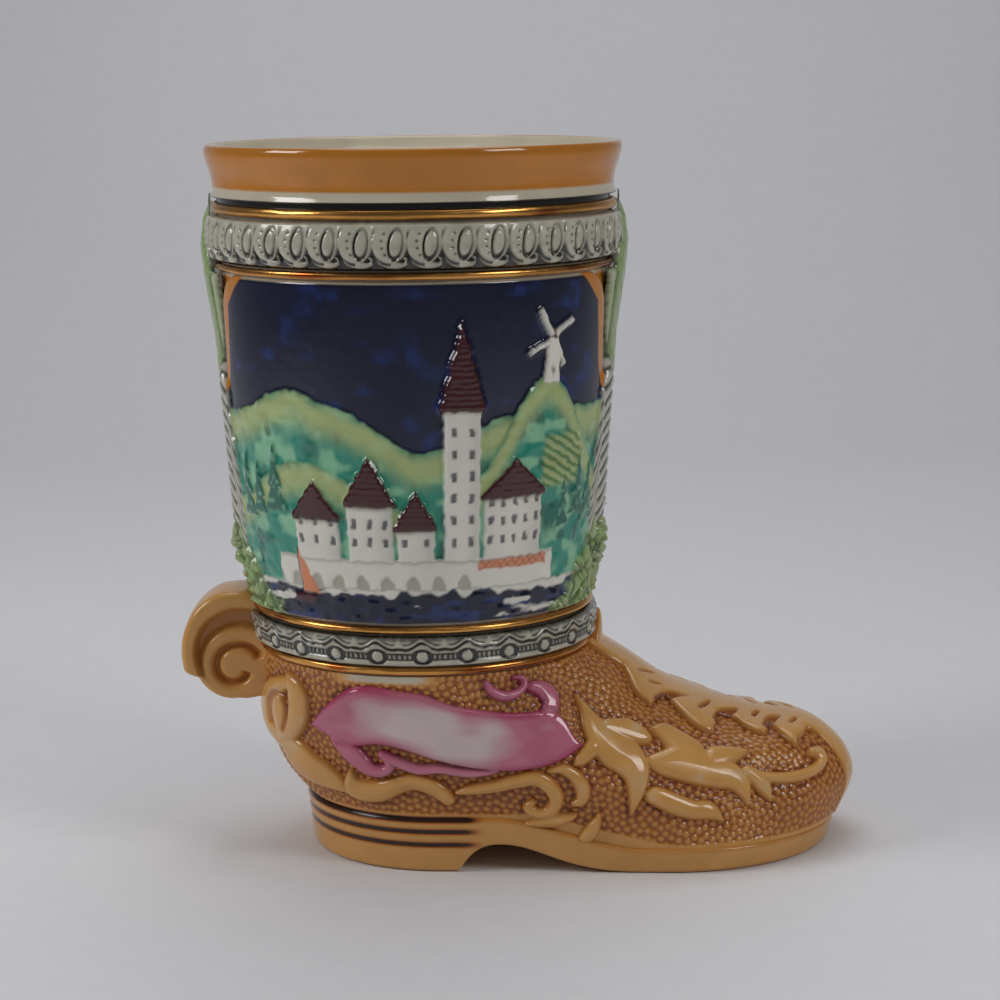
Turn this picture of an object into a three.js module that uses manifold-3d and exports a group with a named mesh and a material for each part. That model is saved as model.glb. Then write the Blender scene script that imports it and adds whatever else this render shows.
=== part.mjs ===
// Ceramic drinking boot: a turned leg on a lofted foot, with applied relief.
// Millimetres. +X runs from heel to toe, +Z is up, and the leg's axis meets the floor at the origin.
import * as THREE from 'three';
import { mergeVertices } from 'three/addons/utils/BufferGeometryUtils.js';
import Module from 'manifold-3d';

const wasm = await Module();
wasm.setup();

// Fits and facets
const CLEARANCE = 0.3;           // glaze gap between a piece and the one that carries it
const WALL = 4.6;                // body wall of the leg
const FLOOR = 4.0;               // body under the hollow of the foot
const LEG_FACETS = 36;
const FOOT_FACETS = 24;
const STROKE_STEPS = 2;          // facets from one point of a stroke to the next

// Foot
const FOOT_HEIGHT = 40.5;        // floor to the ankle joint
const HEEL_CENTRE = 4.6;         // x of the heel's half circle
const HEEL_RADIUS = 28.4;
const HEEL_HEIGHT = 11.0;
const TOE_CENTRE = 50.0;         // x where the toe's half ellipse starts
const TOE_LENGTH = 34.0;
const TOE_HALF_WIDTH = 31.0;
const SOLE_HEIGHT = 5.0;
const SHANK_BACK = 14.0;         // the welt line drops from heel height to sole height
const SHANK_FRONT = 44.0;
const WELT_STEP = 0.9;           // how far the upper stands inside the sole's edge
const BASE_TAPER = 1.4;          // draft of heel and sole from top to floor
const FOOT_ROUND = 0.8;          // rounding where heel and sole meet the floor
const BREAST_X = 11.0;           // seam between heel and sole
const ARCH_BACK = 7.4;           // hollow under the shank
const ARCH_PEAK = 15.5;
const ARCH_FRONT = 42.0;
const ARCH_RISE = 5.6;

// Leg
const ANKLE_RADIUS = 32.3;
const SHIN_RADIUS = 33.6;
const CALF_RADIUS = 36.6;
const NECK_RADIUS = 38.8;
const ANKLE_SHOULDER = 0.6;      // foot standing proud of the leg at the ankle joint
const ANKLE_LEAD = 1.1;          // the ankle sits this far towards the toe
const LEAN_HEIGHT = 30.0;        // height over which the leg comes back to its axis

// Bands round the leg, from the ankle up
const ANKLE_BEAD_HEIGHT = 1.6;
const LOWER_BORDER_HEIGHT = 5.9;
const LOWER_BEAD_HEIGHT = 1.5;
const PICTURE_HEIGHT = 65.5;
const UPPER_BEAD_HEIGHT = 1.5;
const UPPER_BORDER_HEIGHT = 8.9;
const NECK_BEAD_HEIGHT = 2.0;
const NECK_MARGIN = 0.9;
const BEAD_PROUD = 0.9;
const LOWER_BORDER_PROUD = 1.3;
const LOWER_BOSSES = 25;
const BOSS_PROUD = 0.6;
const UPPER_BORDER_PROUD = 0.9;
const UPPER_LOBES = 40;
const LOBE_PROUD = 1.1;
const LOBE_SLANT = 0.22;         // share of a lobe's pitch that its top leans back

// Rim
const RIM_HEIGHT = 10.2;
const RIM_RADIUS = 41.0;
const RIM_NECK_RADIUS = 39.7;
const RIM_NECK_HEIGHT = 2.0;
const RIM_WALL = 5.5;            // at the joint with the leg
const LIP_THICKNESS = 3.4;
const LIP_ROUND = 0.8;

// Picture panels, one on each side of the leg
const PANEL_HALF_ANGLE = 74;     // degrees
const PANEL_THICKNESS = 1.0;
const PANEL_CORNER = 9.0;
const WATER_HEIGHT = 7.0;        // strip of water along the panel's foot
const QUAY_HEIGHT = 6.0;         // water line to the foot of the houses
const QUAY_HALF_LENGTH = 31.0;
const HILL_FOOT = 8.0;           // lowest ground behind the houses, above the quay
const SKY_ABOVE_HILL = 18.5;
const SKY_ABOVE_SPIRE = 7.5;
const CHURCH_CENTRE = 9.5;       // along the panel from its middle
const CHURCH_HALF_WIDTH = 3.5;
const SPIRE_HEIGHT = 16.0;
const EAVES = 0.8;               // roof past its wall
const HOUSES = [                 // centre, half width, wall and roof heights
  [-20, 5, 8, 7], [-8.5, 4.5, 11, 9], [0.5, 3.6, 6.5, 7], [20.4, 6.5, 12, 7],
];
const HILL_RELIEF = 0.5;
const QUAY_RELIEF = 0.8;
const HOUSE_RELIEF = 1.1;
const TOWER_RELIEF = 1.5;
const ROOF_RELIEF = 0.3;         // roof over its wall

// Tree sprigs, front and back of the leg
const SPRIG_HALF_ANGLE = 13.5;   // degrees
const SPRIG_FOOT_GAP = 6.0;      // foliage above the lower bead
const FOLIAGE_HEIGHT = 15.0;
const FOLIAGE_RELIEF = 2.4;
const TUFT_HEIGHT = 8.0;
const BARK_RELIEF = 1.5;
const LEAF_HEIGHT = 33.0;
const LEAF_RELIEF = 1.0;
const LEAF_TIP_RISE = 0.6;       // leaf tip above the joint of leg and rim

// Spur
const SPUR_X = -37.4;
const SPUR_DROP = 4.0;           // spur's eye below the ankle joint
const SPUR_Z = FOOT_HEIGHT - SPUR_DROP;
const SPUR_TOP = 15.4;           // strap's reach above the spur's eye
const STRAP_WINDING = 0.27;      // share of radius lost per radian
const STRAP_THICKNESS = 2.8;
const STRAP_WIDTH = 14.0;
const COIL_WINDING = 0.16;
const COIL_THICKNESS = 2.2;
const COIL_WIDTH = 12.0;
const STRAP_TURN = [55, 190];    // degrees from +X
const COIL_TURN = [60, 500];
const WEB_FACETS = 24;
const WEB_WIDTH = 9.0;

// Relief on the foot
const RELIEF_SEAT = 0.35;        // ornament to foot
const ORNAMENT_RELIEF = 1.0;
const RIBBON_RELIEF = 1.3;
const WELT_BREADTH = 1.4;        // of a stroke as pressed, against its drawn width
const ACANTHUS_BREADTH = 1.25;
const INSTEP_RELIEF = 1.1;
const TOE_RELIEF = 0.5;          // the crest flattens where it runs down the toe
const TONGUE_HEIGHT = 6.2;       // instep leaf above the ankle joint
const TONGUE_LAP = 3.0;          // instep leaf's root below the ankle joint
const TONGUE_HALF_ANGLE = 9;     // degrees
const TONGUE_THICKNESS = 1.3;

// Levels that follow from the sizes above
let level = FOOT_HEIGHT;
function band(height) {
  const bottom = level + CLEARANCE;
  level = bottom + height;
  return { bottom, top: level, height };
}
const ANKLE_BEAD = band(ANKLE_BEAD_HEIGHT);
const LOWER_BORDER = band(LOWER_BORDER_HEIGHT);
const LOWER_BEAD = band(LOWER_BEAD_HEIGHT);
const PICTURE = band(PICTURE_HEIGHT);
const UPPER_BEAD = band(UPPER_BEAD_HEIGHT);
const UPPER_BORDER = band(UPPER_BORDER_HEIGHT);
const NECK_BEAD = band(NECK_BEAD_HEIGHT);
const LEG_TOP = level + NECK_MARGIN;
const RIM_TOP = LEG_TOP + RIM_HEIGHT;
const RELIEF_DEPTH = 60;         // reach of a cutting prism, well past the object's half width

const TAU = 2 * Math.PI;
const radians = THREE.MathUtils.degToRad;
const { clamp, lerp, smoothstep } = THREE.MathUtils;
const point = (x, y, z) => new THREE.Vector3(x, y, z);

// Solids: closed geometry in, joined or cut geometry out

function solid(geometry) {
  const bare = geometry.clone();
  bare.deleteAttribute('normal');
  bare.deleteAttribute('uv');
  const merged = mergeVertices(bare, 1e-4);
  const mesh = new wasm.Mesh({
    numProp: 3,
    vertProperties: new Float32Array(merged.attributes.position.array),
    triVerts: new Uint32Array(merged.index.array),
  });
  return new wasm.Manifold(mesh);
}

function geometryOf(manifold) {
  const mesh = manifold.getMesh();
  const geometry = new THREE.BufferGeometry();
  geometry.setAttribute('position', new THREE.BufferAttribute(new Float32Array(mesh.vertProperties), 3));
  geometry.setIndex(new THREE.BufferAttribute(new Uint32Array(mesh.triVerts), 1));
  return geometry;
}

const joined = (solids) => solids.reduce((whole, next) => whole.add(next));

function surfaceFrom(points, index) {
  const geometry = new THREE.BufferGeometry();
  geometry.setFromPoints(points);
  geometry.setIndex(index);
  return geometry;
}

// Closed loft through rings of equal count that mirror across y = 0, with facets that mirror too.
// Strips between mirrored points cap both ends.
function loft(rings) {
  const count = rings[0].length;
  const index = [];
  const at = (row, i) => row * count + (i % count);
  for (let row = 0; row < rings.length - 1; row++) {
    for (let i = 0; i < count; i++) {
      const [a, b, c, d] = [at(row, i), at(row, i + 1), at(row + 1, i + 1), at(row + 1, i)];
      index.push(...(i < count / 2 ? [a, b, c, a, c, d] : [a, b, d, b, c, d]));
    }
  }
  const last = rings.length - 1;
  for (let i = 0; i < count / 2; i++) {
    const j = count - i;
    if (i > 0) {
      index.push(at(0, i), at(0, j), at(0, j - 1));
      index.push(at(last, i), at(last, j - 1), at(last, j));
    }
    if (i < count / 2 - 1) {
      index.push(at(0, i), at(0, j - 1), at(0, i + 1));
      index.push(at(last, i), at(last, i + 1), at(last, j - 1));
    }
  }
  return surfaceFrom(rings.flat(), index);
}

// Ring round the leg: a closed section, counter-clockwise in (offset from the leg, height), at each angle.
function collar(facets, section) {
  const loops = [];
  for (let i = 0; i < facets; i++) {
    const angle = (i / facets) * TAU;
    loops.push(section(angle).map(([offset, z]) => legPoint(angle, z, offset)));
  }
  const count = loops[0].length;
  const index = [];
  for (let i = 0; i < facets; i++) {
    const next = (i + 1) % facets;
    for (let k = 0; k < count; k++) {
      const up = (k + 1) % count;
      index.push(i * count + k, next * count + k, next * count + up);
      index.push(i * count + k, next * count + up, i * count + up);
    }
  }
  return surfaceFrom(loops.flat(), index);
}

// Tile bent on to the leg: (u, v) runs over its outline, and inner and outer give its faces' offsets.
function tile(columns, rows, place, inner, outer) {
  const geometry = new THREE.BoxGeometry(1, 1, 1, columns, rows, 1);
  const position = geometry.attributes.position;
  for (let i = 0; i < position.count; i++) {
    const u = position.getX(i) + 0.5;
    const v = position.getY(i) + 0.5;
    const face = position.getZ(i) > 0 ? outer : inner;
    const [angle, z] = place(u, v);
    const p = legPoint(angle, z, face(u, v, z));
    position.setXYZ(i, p.x, p.y, p.z);
  }
  return solid(geometry);
}

// Leg: a smooth profile sampled at a few heights and straight between them, so that pieces seat on its facets

const SHIN_Z = PICTURE.bottom + 0.08 * PICTURE_HEIGHT;
const CALF_Z = (PICTURE.bottom + PICTURE.top) / 2;
const LEG_LEVELS = [
  FOOT_HEIGHT, LOWER_BORDER.bottom, LOWER_BEAD.top, SHIN_Z, CALF_Z, UPPER_BEAD.bottom, LEG_TOP,
];
const legCurve = new THREE.SplineCurve([
  new THREE.Vector2(FOOT_HEIGHT, ANKLE_RADIUS),
  new THREE.Vector2(SHIN_Z, SHIN_RADIUS),
  new THREE.Vector2(CALF_Z, CALF_RADIUS),
  new THREE.Vector2(LEG_TOP, NECK_RADIUS),
]).getPoints(60);
const LEG_PROFILE = LEG_LEVELS.map((z) => {
  const { y: radius } = legCurve.find((p) => p.x >= z - 1e-6);
  const lead = ANKLE_LEAD * clamp(1 - (z - FOOT_HEIGHT) / LEAN_HEIGHT, 0, 1) ** 2;
  return { z, radius, lead };
});

function legPoint(angle, z, offset) {
  const below = LEG_PROFILE.findLastIndex((level) => level.z <= z);
  const i = clamp(below, 0, LEG_PROFILE.length - 2);
  const [a, b] = [LEG_PROFILE[i], LEG_PROFILE[i + 1]];
  const share = clamp((z - a.z) / (b.z - a.z), 0, 1);
  const r = lerp(a.radius, b.radius, share) + offset;
  return point(lerp(a.lead, b.lead, share) + r * Math.cos(angle), r * Math.sin(angle), z);
}

function leg() {
  const outside = LEG_LEVELS.map((z) => [0, z]);
  const inside = [LEG_TOP, CALF_Z, SHIN_Z, FOOT_HEIGHT].map((z) => [-WALL, z]);
  return collar(LEG_FACETS, () => [...outside, ...inside]);
}

function rimCollar() {
  const bore = RIM_NECK_RADIUS - RIM_WALL;
  const waist = lerp(RIM_NECK_RADIUS, RIM_RADIUS, 0.25);
  const waistHeight = LEG_TOP + RIM_HEIGHT / 2;
  const profile = [
    [bore, LEG_TOP],
    [RIM_NECK_RADIUS, LEG_TOP],
    [RIM_NECK_RADIUS, LEG_TOP + RIM_NECK_HEIGHT],
    [waist, waistHeight],
    [RIM_RADIUS, RIM_TOP - LIP_ROUND],
    [RIM_RADIUS - 0.3 * LIP_ROUND, RIM_TOP - 0.3 * LIP_ROUND],
    [RIM_RADIUS - LIP_ROUND, RIM_TOP],
    [RIM_RADIUS - 2 * LIP_ROUND, RIM_TOP - 0.4 * LIP_ROUND],
    [waist - LIP_THICKNESS, waistHeight],
    [bore, LEG_TOP],
  ];
  const lathe = new THREE.LatheGeometry(profile.map(([r, z]) => new THREE.Vector2(r, z)), LEG_FACETS);
  return lathe.rotateX(Math.PI / 2);
}

// Half-round gilt bead
function bead({ bottom, top }) {
  return collar(LEG_FACETS, () => [
    [CLEARANCE, bottom],
    [CLEARANCE + BEAD_PROUD, lerp(bottom, top, 0.3)],
    [CLEARANCE + BEAD_PROUD, lerp(bottom, top, 0.7)],
    [CLEARANCE, top],
  ]);
}

// Border of slanted, overlapping lobes
function upperBorder() {
  const { bottom, top, height } = UPPER_BORDER;
  const rows = [0, 0.5, 1];
  const lobes = Math.round(UPPER_LOBES);
  return collar(lobes * 3, (angle) => {
    const outside = rows.map((share) => {
      const turn = (angle / TAU) * lobes + LOBE_SLANT * share;
      const lobe = 0.5 - 0.5 * Math.cos(TAU * turn);
      const swell = LOBE_PROUD * Math.sin(Math.PI * share) * (0.45 + 0.55 * lobe);
      return [CLEARANCE + UPPER_BORDER_PROUD + swell, bottom + share * height];
    });
    return [[CLEARANCE, bottom], ...outside, [CLEARANCE, top]];
  });
}

// Border of round bosses in a chain
function lowerBorder() {
  const { bottom, top, height } = LOWER_BORDER;
  const rows = [0, 0.5, 1];
  const bosses = Math.round(LOWER_BOSSES);
  return collar(bosses * 3, (angle) => {
    const beat = 0.5 + 0.5 * Math.cos(angle * bosses);
    const outside = rows.map((share) => {
      const boss = Math.sin(Math.PI * share) ** 2 * beat;
      return [CLEARANCE + LOWER_BORDER_PROUD + BOSS_PROUD * boss, bottom + share * height];
    });
    return [[CLEARANCE, bottom], ...outside, [CLEARANCE, top]];
  });
}

// Picture panel: a plate with a hill, a quay, houses and a church in low relief

function panel(facing) {
  const radius = CALF_RADIUS + CLEARANCE + PANEL_THICKNESS;
  const reach = radius * radians(PANEL_HALF_ANGLE);
  const angleAt = (s) => radians(facing) + s / radius;
  const surface = CLEARANCE + PANEL_THICKNESS;
  const embedded = () => CLEARANCE + PANEL_THICKNESS / 2;

  // Tile between s = left and right, from a floor to a top outline
  const block = (left, right, floor, ceiling, height, columns = 2) => {
    const place = (u, v) => {
      const s = lerp(left, right, u);
      return [angleAt(s), lerp(floor, ceiling(s), v)];
    };
    return tile(columns, 1, place, embedded, () => surface + height);
  };

  const cornerDrop = (s) => {
    const into = clamp((Math.abs(s) - (reach - PANEL_CORNER)) / PANEL_CORNER, 0, 1);
    return PANEL_CORNER * (1 - Math.sqrt(1 - into * into));
  };
  // Columns crowd towards the rounded corners, and rows follow the leg's levels
  const placeOnPlate = (u, v) => {
    const turn = (u - 0.5) * Math.PI;
    const s = reach * Math.sin(turn) * (1 - 0.25 * Math.cos(turn));
    const rows = [PICTURE.bottom, SHIN_Z, CALF_Z, PICTURE.top - cornerDrop(s)];
    return [angleAt(s), rows[Math.round(v * 3)]];
  };
  const plate = tile(16, 3, placeOnPlate, () => CLEARANCE, () => surface);

  const water = PICTURE.bottom + WATER_HEIGHT;
  const street = water + QUAY_HEIGHT;
  const ground = street + HILL_FOOT;
  const flat = (z) => () => z;
  const gable = (centre, half, eaves, ridge) => (s) => {
    const out = clamp(Math.abs(s - centre) / half, 0, 1);
    return lerp(ridge, eaves, out);
  };
  const hill = (from, to, peak) => {
    const middle = lerp(from, to, 0.53);
    const outline = (s) => lerp(ground, peak, Math.exp(-((2.6 * (s - middle) / (to - from)) ** 2)));
    return block(from, to, street, outline, HILL_RELIEF, 8);
  };
  const house = ([centre, half, wall, roof], height = HOUSE_RELIEF) => {
    const eaves = street + wall;
    const over = half + EAVES;
    const ridge = gable(centre, over, eaves, eaves + roof);
    return [
      block(centre - half, centre + half, street - EAVES, flat(eaves), height),
      block(centre - over, centre + over, eaves - EAVES, ridge, height + ROOF_RELIEF),
    ];
  };
  const towerHeight = PICTURE.top - SKY_ABOVE_SPIRE - SPIRE_HEIGHT - street;
  return joined([
    plate,
    hill(CHURCH_CENTRE, reach - PANEL_CORNER / 2, PICTURE.top - SKY_ABOVE_HILL),
    hill(PANEL_CORNER / 2 - reach, -CHURCH_HALF_WIDTH, lerp(ground, PICTURE.top - SKY_ABOVE_HILL, 0.4)),
    block(-QUAY_HALF_LENGTH, QUAY_HALF_LENGTH, water, flat(street), QUAY_RELIEF, 8),
    ...HOUSES.flatMap((plan) => house(plan)),
    ...house([CHURCH_CENTRE, CHURCH_HALF_WIDTH, towerHeight, SPIRE_HEIGHT], TOWER_RELIEF),
  ]);
}

// Tree sprig: foliage, ribbed bark and one pointed leaf that lies over the upper border

function sprig(facing) {
  const middle = radians(facing);
  const half = radians(SPRIG_HALF_ANGLE);
  const foot = LOWER_BEAD.top + SPRIG_FOOT_GAP;
  const foliageTop = foot + FOLIAGE_HEIGHT;
  const leafTop = LEG_TOP + LEAF_TIP_RISE;
  const leafFoot = leafTop - LEAF_HEIGHT;
  const lap = TUFT_HEIGHT / 3;
  const overBorder = CLEARANCE + UPPER_BORDER_PROUD + LOBE_PROUD + CLEARANCE;
  const ledge = UPPER_BEAD.bottom - CLEARANCE;
  const seat = (u, v, z) => {
    const climb = smoothstep(z, ledge - 2 * overBorder, ledge);
    return lerp(CLEARANCE, overBorder, climb);
  };
  const strip = (bottom, top, width, height, rows) => {
    const place = (u, v) => [middle + (2 * u - 1) * half * width(v), lerp(bottom, top, v)];
    const raised = (u, v, z) => seat(u, v, z) + height * (0.35 + 0.65 * Math.sin(Math.PI * u));
    return tile(4, rows, place, seat, raised);
  };
  const tuft = ([turn, share, size]) => {
    const z = foot + share * FOLIAGE_HEIGHT;
    const place = (u, v) => {
      const width = size * half * (0.6 + 0.5 * Math.sin(Math.PI * v));
      return [middle + half * turn + (u - 0.5) * width, z + (v - 0.5) * TUFT_HEIGHT * size];
    };
    const dome = (u, v) => {
      const crown = Math.sin(Math.PI * u) * Math.sin(Math.PI * v);
      return CLEARANCE + FOLIAGE_RELIEF * size * (0.15 + crown);
    };
    return tile(2, 2, place, () => CLEARANCE, dome);
  };
  const leafWidth = (v) => Math.max(0.04, Math.sin(Math.PI * (0.12 + 0.88 * v)) ** 0.7);
  return joined([
    strip(foliageTop - lap, leafFoot + lap, (v) => 0.5 + 0.4 * v, BARK_RELIEF, 4),
    strip(foot, foliageTop, () => 0.6, LEAF_RELIEF, 2),
    strip(leafFoot, leafTop, leafWidth, LEAF_RELIEF, 7),
    ...[[-0.45, 0.24, 0.9], [0.4, 0.3, 1], [0, 0.52, 1.1], [0.2, 0.8, 0.9]].map(tuft),
  ]);
}

// Foot: every ring runs by share of its length, from the toe tip along +Y to the heel and back along -Y

const TOE_LINE = [[0, 1], [0.15, 0.875], [0.34, 0.705], [0.66, 0.552], [0.96, 0.47], [1.085, 0.245], [1.02, 0]];
const SIDE_LINE = [[0, 1], [0.1, 0.84], [0.36, 0.56], [0.72, 0.27], [1, 0]];
const HEEL_LINE = [[0, 1], [0, 0.72], [0.09, 0.47], [0.42, 0.2], [0.97, 0]];
const asCurve = (line) => new THREE.SplineCurve(line.map(([x, y]) => new THREE.Vector2(x, y)));
const [toeCurve, sideCurve, heelCurve] = [TOE_LINE, SIDE_LINE, HEEL_LINE].map(asCurve);

// Outline of the sole in plan: half ellipse at the toe, straight sides, half circle at the heel
function soleOutline(inset) {
  const plan = new THREE.CurvePath();
  const toe = [TOE_LENGTH - inset, TOE_HALF_WIDTH - inset];
  const heel = HEEL_RADIUS - inset;
  plan.add(new THREE.EllipseCurve(TOE_CENTRE, 0, ...toe, 0, Math.PI / 2));
  plan.add(new THREE.LineCurve(new THREE.Vector2(TOE_CENTRE, toe[1]), new THREE.Vector2(HEEL_CENTRE, heel)));
  plan.add(new THREE.EllipseCurve(HEEL_CENTRE, 0, heel, heel, Math.PI / 2, Math.PI));
  return (share) => {
    const far = share > 0.5;
    const p = plan.getPoint(clamp(far ? 2 - 2 * share : 2 * share, 0, 1));
    return new THREE.Vector2(p.x, far ? -p.y : p.y);
  };
}

function weltHeight(x) {
  return lerp(HEEL_HEIGHT, SOLE_HEIGHT, smoothstep(x, SHANK_BACK, SHANK_FRONT));
}

// Upper between the ankle ring (fall 0) and the welt (fall 1), drawn in by inset, lifted off the welt,
// and sunk by sag halfway down
function upper(inset, lift, sag) {
  const outline = soleOutline(WELT_STEP + inset);
  const ringRadius = ANKLE_RADIUS + ANKLE_SHOULDER - inset;
  return (share, fall) => {
    const cosine = Math.cos(share * TAU);
    const toe = Math.max(cosine, 0) ** 3;
    const heel = Math.max(-cosine, 0) ** 2;
    const mix = new THREE.Vector2();
    mix.addScaledVector(toeCurve.getPoint(fall), toe);
    mix.addScaledVector(heelCurve.getPoint(fall), heel);
    mix.addScaledVector(sideCurve.getPoint(fall), 1 - toe - heel);
    const edge = outline(share);
    const z = lerp(weltHeight(edge.x) + lift, FOOT_HEIGHT, mix.y) - sag * Math.sin(Math.PI * mix.y);
    const ring = new THREE.Vector2(ANKLE_LEAD + ringRadius * cosine, ringRadius * Math.sin(share * TAU));
    return point(lerp(ring.x, edge.x, mix.x), lerp(ring.y, edge.y, mix.x), z);
  };
}

const footSurface = upper(0, 0, 0);

function footNormal(share, fall) {
  const step = 1e-3;
  const across = footSurface(share + step, fall).sub(footSurface(share - step, fall));
  const low = clamp(fall - step, 0, 1);
  const down = footSurface(share, clamp(fall + step, 0, 1)).sub(footSurface(share, low));
  return down.cross(across).normalize();
}

const ringOf = (at) => Array.from({ length: FOOT_FACETS }, (_, i) => at(i / FOOT_FACETS));

// Rings from the welt up, so that the loft faces outwards, closest where the toe cap bends
const FALLS = [1, 0.92, 0.82, 0.7, 0.52, 0.33, 0.15, 0];
function upperRings(surface) {
  return FALLS.map((fall) => ringOf((share) => surface(share, fall)));
}

function swollenFoot(offset) {
  return solid(loft(upperRings((share, fall) => {
    const p = footSurface(share % 1, fall);
    return p.addScaledVector(footNormal(share, fall), offset);
  })));
}

function foot() {
  const hollow = upper(WALL + ANKLE_SHOULDER, FLOOR, WALL);
  const rings = upperRings(hollow);
  const mouth = rings.at(-1).map((p) => p.clone().setZ(FOOT_HEIGHT + 1));
  return solid(loft(upperRings(footSurface))).subtract(solid(loft([...rings, mouth])));
}

// Heel and sole are one slab in plan, hollowed under the shank and parted at the breast
function baseSlab() {
  const [round, taper, full] = [BASE_TAPER + FOOT_ROUND, BASE_TAPER, 0].map(soleOutline);
  const ring = (outline, height) => ringOf((share) => {
    const p = outline(share);
    return point(p.x, p.y, height(p.x));
  });
  const slab = solid(loft([
    ring(round, () => 0),
    ring(taper, () => FOOT_ROUND),
    ring(full, (x) => weltHeight(x) - CLEARANCE),
  ]));
  const arch = new THREE.Shape();
  arch.moveTo(ARCH_BACK, -1);
  arch.lineTo(ARCH_BACK, 0);
  const behind = (share) => lerp(ARCH_BACK, ARCH_PEAK, share);
  const ahead = (share) => lerp(ARCH_PEAK, ARCH_FRONT, share);
  arch.bezierCurveTo(behind(0.25), 0.6 * ARCH_RISE, behind(0.5), ARCH_RISE, ARCH_PEAK, ARCH_RISE);
  arch.bezierCurveTo(ahead(0.3), ARCH_RISE, ahead(0.45), 0, ARCH_FRONT, 0);
  arch.lineTo(ARCH_FRONT, -1);
  return slab.subtract(acrossBoot(arch, RELIEF_DEPTH));
}

// Prism of a side-elevation outline (x, z), centred on the boot's middle plane
function acrossBoot(shape, width, middle = 0, curveSegments = 8) {
  const prism = new THREE.ExtrudeGeometry(shape, { depth: width, bevelEnabled: false, curveSegments });
  return solid(prism.rotateX(Math.PI / 2).translate(0, middle + width / 2, 0));
}

function slabPart(from, to) {
  const block = new THREE.BoxGeometry(to - from, 2 * RELIEF_DEPTH, FOOT_HEIGHT);
  return baseSlab().intersect(solid(block.translate((from + to) / 2, 0, 0)));
}

const heelBlock = () => slabPart(BREAST_X - RELIEF_DEPTH, BREAST_X - CLEARANCE / 2);
const soleBlock = () => slabPart(BREAST_X + CLEARANCE / 2, TOE_CENTRE + RELIEF_DEPTH);

// Spur: a strap over a coiled volute, cut to sit on the leg, the lower border and the counter of the foot

function coilShape([from, to], outer, thickness) {
  const steps = 8 * Math.ceil((to - from) / 90);
  const at = (i, inset) => {
    const angle = radians(lerp(from, to, i / steps));
    const r = Math.max(outer(angle) - inset, 0.4);
    return new THREE.Vector2(SPUR_X + r * Math.cos(angle), SPUR_Z + r * Math.sin(angle));
  };
  const outside = Array.from({ length: steps + 1 }, (_, i) => at(i, 0));
  const inside = Array.from({ length: steps + 1 }, (_, i) => at(steps - i, thickness));
  return new THREE.Shape([...outside, ...inside]);
}

function spur() {
  const top = Math.PI / 2;
  const strap = (angle) => SPUR_TOP * Math.exp(-STRAP_WINDING * (angle - top));
  const coil = (angle) => (SPUR_TOP - STRAP_THICKNESS - 0.4) * Math.exp(-COIL_WINDING * (angle - top));
  const web = Array.from({ length: WEB_FACETS }, (_, i) => {
    const angle = top + (i / WEB_FACETS) * TAU;
    const r = coil(angle) - COIL_THICKNESS / 2;
    return new THREE.Vector2(SPUR_X + r * Math.cos(angle), SPUR_Z + r * Math.sin(angle));
  });
  const whole = joined([
    acrossBoot(new THREE.Shape(web), WEB_WIDTH),
    acrossBoot(coilShape(COIL_TURN, coil, COIL_THICKNESS), COIL_WIDTH),
    acrossBoot(coilShape(STRAP_TURN, strap, STRAP_THICKNESS + 0.6), STRAP_WIDTH),
  ]);
  const proud = CLEARANCE + LOWER_BORDER_PROUD + BOSS_PROUD + CLEARANCE;
  const body = collar(LEG_FACETS, () => [
    [1 - ANKLE_RADIUS, FOOT_HEIGHT - 1], [proud, FOOT_HEIGHT - 1], [proud, LOWER_BEAD.top + CLEARANCE],
    [CLEARANCE, LOWER_BEAD.top + CLEARANCE], [CLEARANCE, CALF_Z], [1 - ANKLE_RADIUS, CALF_Z],
  ]);
  const core = new THREE.BoxGeometry(HEEL_RADIUS, HEEL_RADIUS, CALF_Z).translate(0, 0, CALF_Z / 2);
  return whole.subtract(solid(body)).subtract(swollenFoot(CLEARANCE)).subtract(solid(core));
}

// Foot ornaments: strokes drawn in side elevation, each point (x, z, half width), pressed on to the upper.

const HEEL_SCROLL = [
  [[-27.5, 37.6, 0.8], [-25.7, 35.6, 1.8], [-25.2, 31, 2], [-25.3, 27, 2.1], [-24.8, 23.4, 2.6],
    [-22.4, 20.6, 2.6], [-18.6, 18.6, 1.9], [-14.9, 17.2, 0.4]],
  [[-26.2, 34.6, 1.6], [-29, 33, 1.5], [-30.2, 29.6, 1.2], [-29.4, 26.2, 1.2], [-27.8, 23.6, 1.5],
    [-25.6, 22.2, 1.8]],
  [[-27, 22.4, 1], [-25.6, 19.6, 1.3], [-22.8, 19, 1.4]],
];
const WELT_SCROLL = [
  [[-14, 21.6, 0.3], [-13, 19.2, 0.8], [-11.3, 16.4, 1.6], [-8.6, 16.2, 1.6], [-5.2, 18.4, 1.2],
    [-1, 18.9, 1.3], [3.3, 18.1, 1.2], [5.8, 15.7, 1], [4.5, 13.9, 0.6]],
  [[4, 17.2, 1.2], [7.4, 16.8, 0.8], [12.5, 18.7, 1], [16.7, 19.6, 1.2], [21.7, 20, 1.3], [25.1, 18.7, 1.3],
    [27, 15.5, 1.2], [25.6, 12.7, 1], [22.6, 12.4, 0.8], [21.2, 14.2, 0.6]],
  [[25.5, 18.6, 1.2], [29.5, 20.6, 1.2], [32, 18.6, 1.2], [31.4, 15, 0.9], [29.8, 14.6, 0.4]],
  [[19.6, 11.6, 0.4], [24.2, 11.4, 1.2], [28.8, 11.4, 1.2], [30, 10, 0.8], [29, 8.8, 0.3]],
];
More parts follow.
